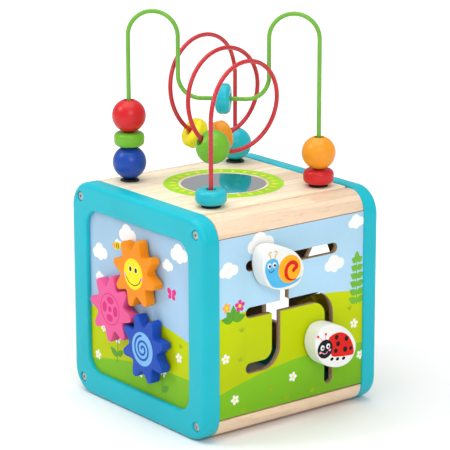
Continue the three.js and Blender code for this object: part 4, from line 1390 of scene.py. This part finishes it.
class ACTIVITY_CUBE_OT_stage(CubePiece, Operator):
    """Floor, world, lights and camera"""
    bl_idname = "activity_cube.stage"
    bl_label = "Stage"

    def make(self, c, maze):
        scene = bpy.context.scene
        world = bpy.data.worlds.new("studio")
        world.use_nodes = True
        colour, strength = world.node_tree.nodes["Background"].inputs[:2]
        colour.default_value, strength.default_value = (1, 1, 1, 1), WORLD_LIGHT
        scene.world = world
        scene.view_settings.view_transform = "Standard"
        mesh = bpy.data.meshes.new("floor")
        mesh.from_pydata([(-6, -6, 0), (6, -6, 0), (6, 6, 0), (-6, 6, 0)], [], [(0, 1, 2, 3)])
        floor = linked("floor", mesh)
        sheet = Shader("studio_floor", Specular_IOR_Level=0.1, Emission_Color=(1, 1, 1, 1))
        away = sheet.add("ShaderNodeVectorMath", {0: sheet.place}, operation="LENGTH").outputs["Value"]
        sheet.feed(sheet.surface.inputs["Emission Strength"], sheet.between(away, *FLOOR_GLOW))
        sheet.mottled(sheet.noise(3, 2), linear("f4f4f4"), linear("f9f9f9"))
        sheet.rough(0.7)
        mesh.materials.append(sheet.material)
        aim = Vector((0, CUBE_Y * MM, 0.13))
        for name, place, size, power in LAMPS:
            lamp = bpy.data.lights.new(name, "AREA")
            lamp.shape, lamp.size, lamp.energy = "DISK", size, power
            light = linked(name, lamp)
            light.location = place
            light.rotation_euler = (aim - Vector(place)).to_track_quat("-Z", "Y").to_euler()
        lens = bpy.data.cameras.new("camera")
        lens.lens, lens.sensor_width = CAMERA_LENS, 36
        camera = linked("camera", lens)
        yaw, pitch, roll = (math.radians(angle) for angle in CAMERA_TURN)
        level = math.cos(pitch)
        forward = Vector((math.cos(yaw) * level, math.sin(yaw) * level, -math.sin(pitch)))
        camera.location = Vector((CAMERA_AT[0], CAMERA_AT[1] + CUBE_Y, CAMERA_AT[2])) * MM
        turn = forward.to_track_quat("-Z", "Y").to_matrix() @ Matrix.Rotation(roll, 3, "Z")
        camera.rotation_euler = turn.to_euler()
        scene.camera = camera


class ACTIVITY_CUBE_PT_panel(Panel):
    """Lists the operators that build the cube, in order"""
    bl_label = "Activity Cube"
    bl_idname = "ACTIVITY_CUBE_PT_panel"
    bl_space_type = "VIEW_3D"
    bl_region_type = "UI"
    bl_category = "Activity Cube"

    def draw(self, context):
        for group in (context.scene.activity_cube_colours, context.scene.activity_cube_maze):
            box = self.layout.box()
            for key in group.__annotations__:
                box.prop(group, key)
        for operator in OPERATORS:
            self.layout.operator(operator.bl_idname)


OPERATORS = (
    ACTIVITY_CUBE_OT_frames, ACTIVITY_CUBE_OT_screws, ACTIVITY_CUBE_OT_boards, ACTIVITY_CUBE_OT_rails,
    ACTIVITY_CUBE_OT_top, ACTIVITY_CUBE_OT_gears, ACTIVITY_CUBE_OT_knobs, ACTIVITY_CUBE_OT_blocks,
    ACTIVITY_CUBE_OT_wires, ACTIVITY_CUBE_OT_grommets, ACTIVITY_CUBE_OT_beads, ACTIVITY_CUBE_OT_prints,
    ACTIVITY_CUBE_OT_stage,
)
CLASSES = (CubeColours, MazeSizes) + OPERATORS + (ACTIVITY_CUBE_PT_panel,)


def register():
    for cls in CLASSES:
        bpy.utils.register_class(cls)
    bpy.types.Scene.activity_cube_colours = PointerProperty(type=CubeColours)
    bpy.types.Scene.activity_cube_maze = PointerProperty(type=MazeSizes)


def unregister():
    del bpy.types.Scene.activity_cube_maze
    del bpy.types.Scene.activity_cube_colours
    for cls in reversed(CLASSES):
        bpy.utils.unregister_class(cls)


def write_sizes():
    """Brings the view layer up to date."""
    bpy.context.view_layer.update()


def main():
    register()
    for operator in OPERATORS:
        name = operator.bl_idname.split(".")[1]
        getattr(bpy.ops.activity_cube, name)()
    write_sizes()


if __name__ == "__main__":
    main()
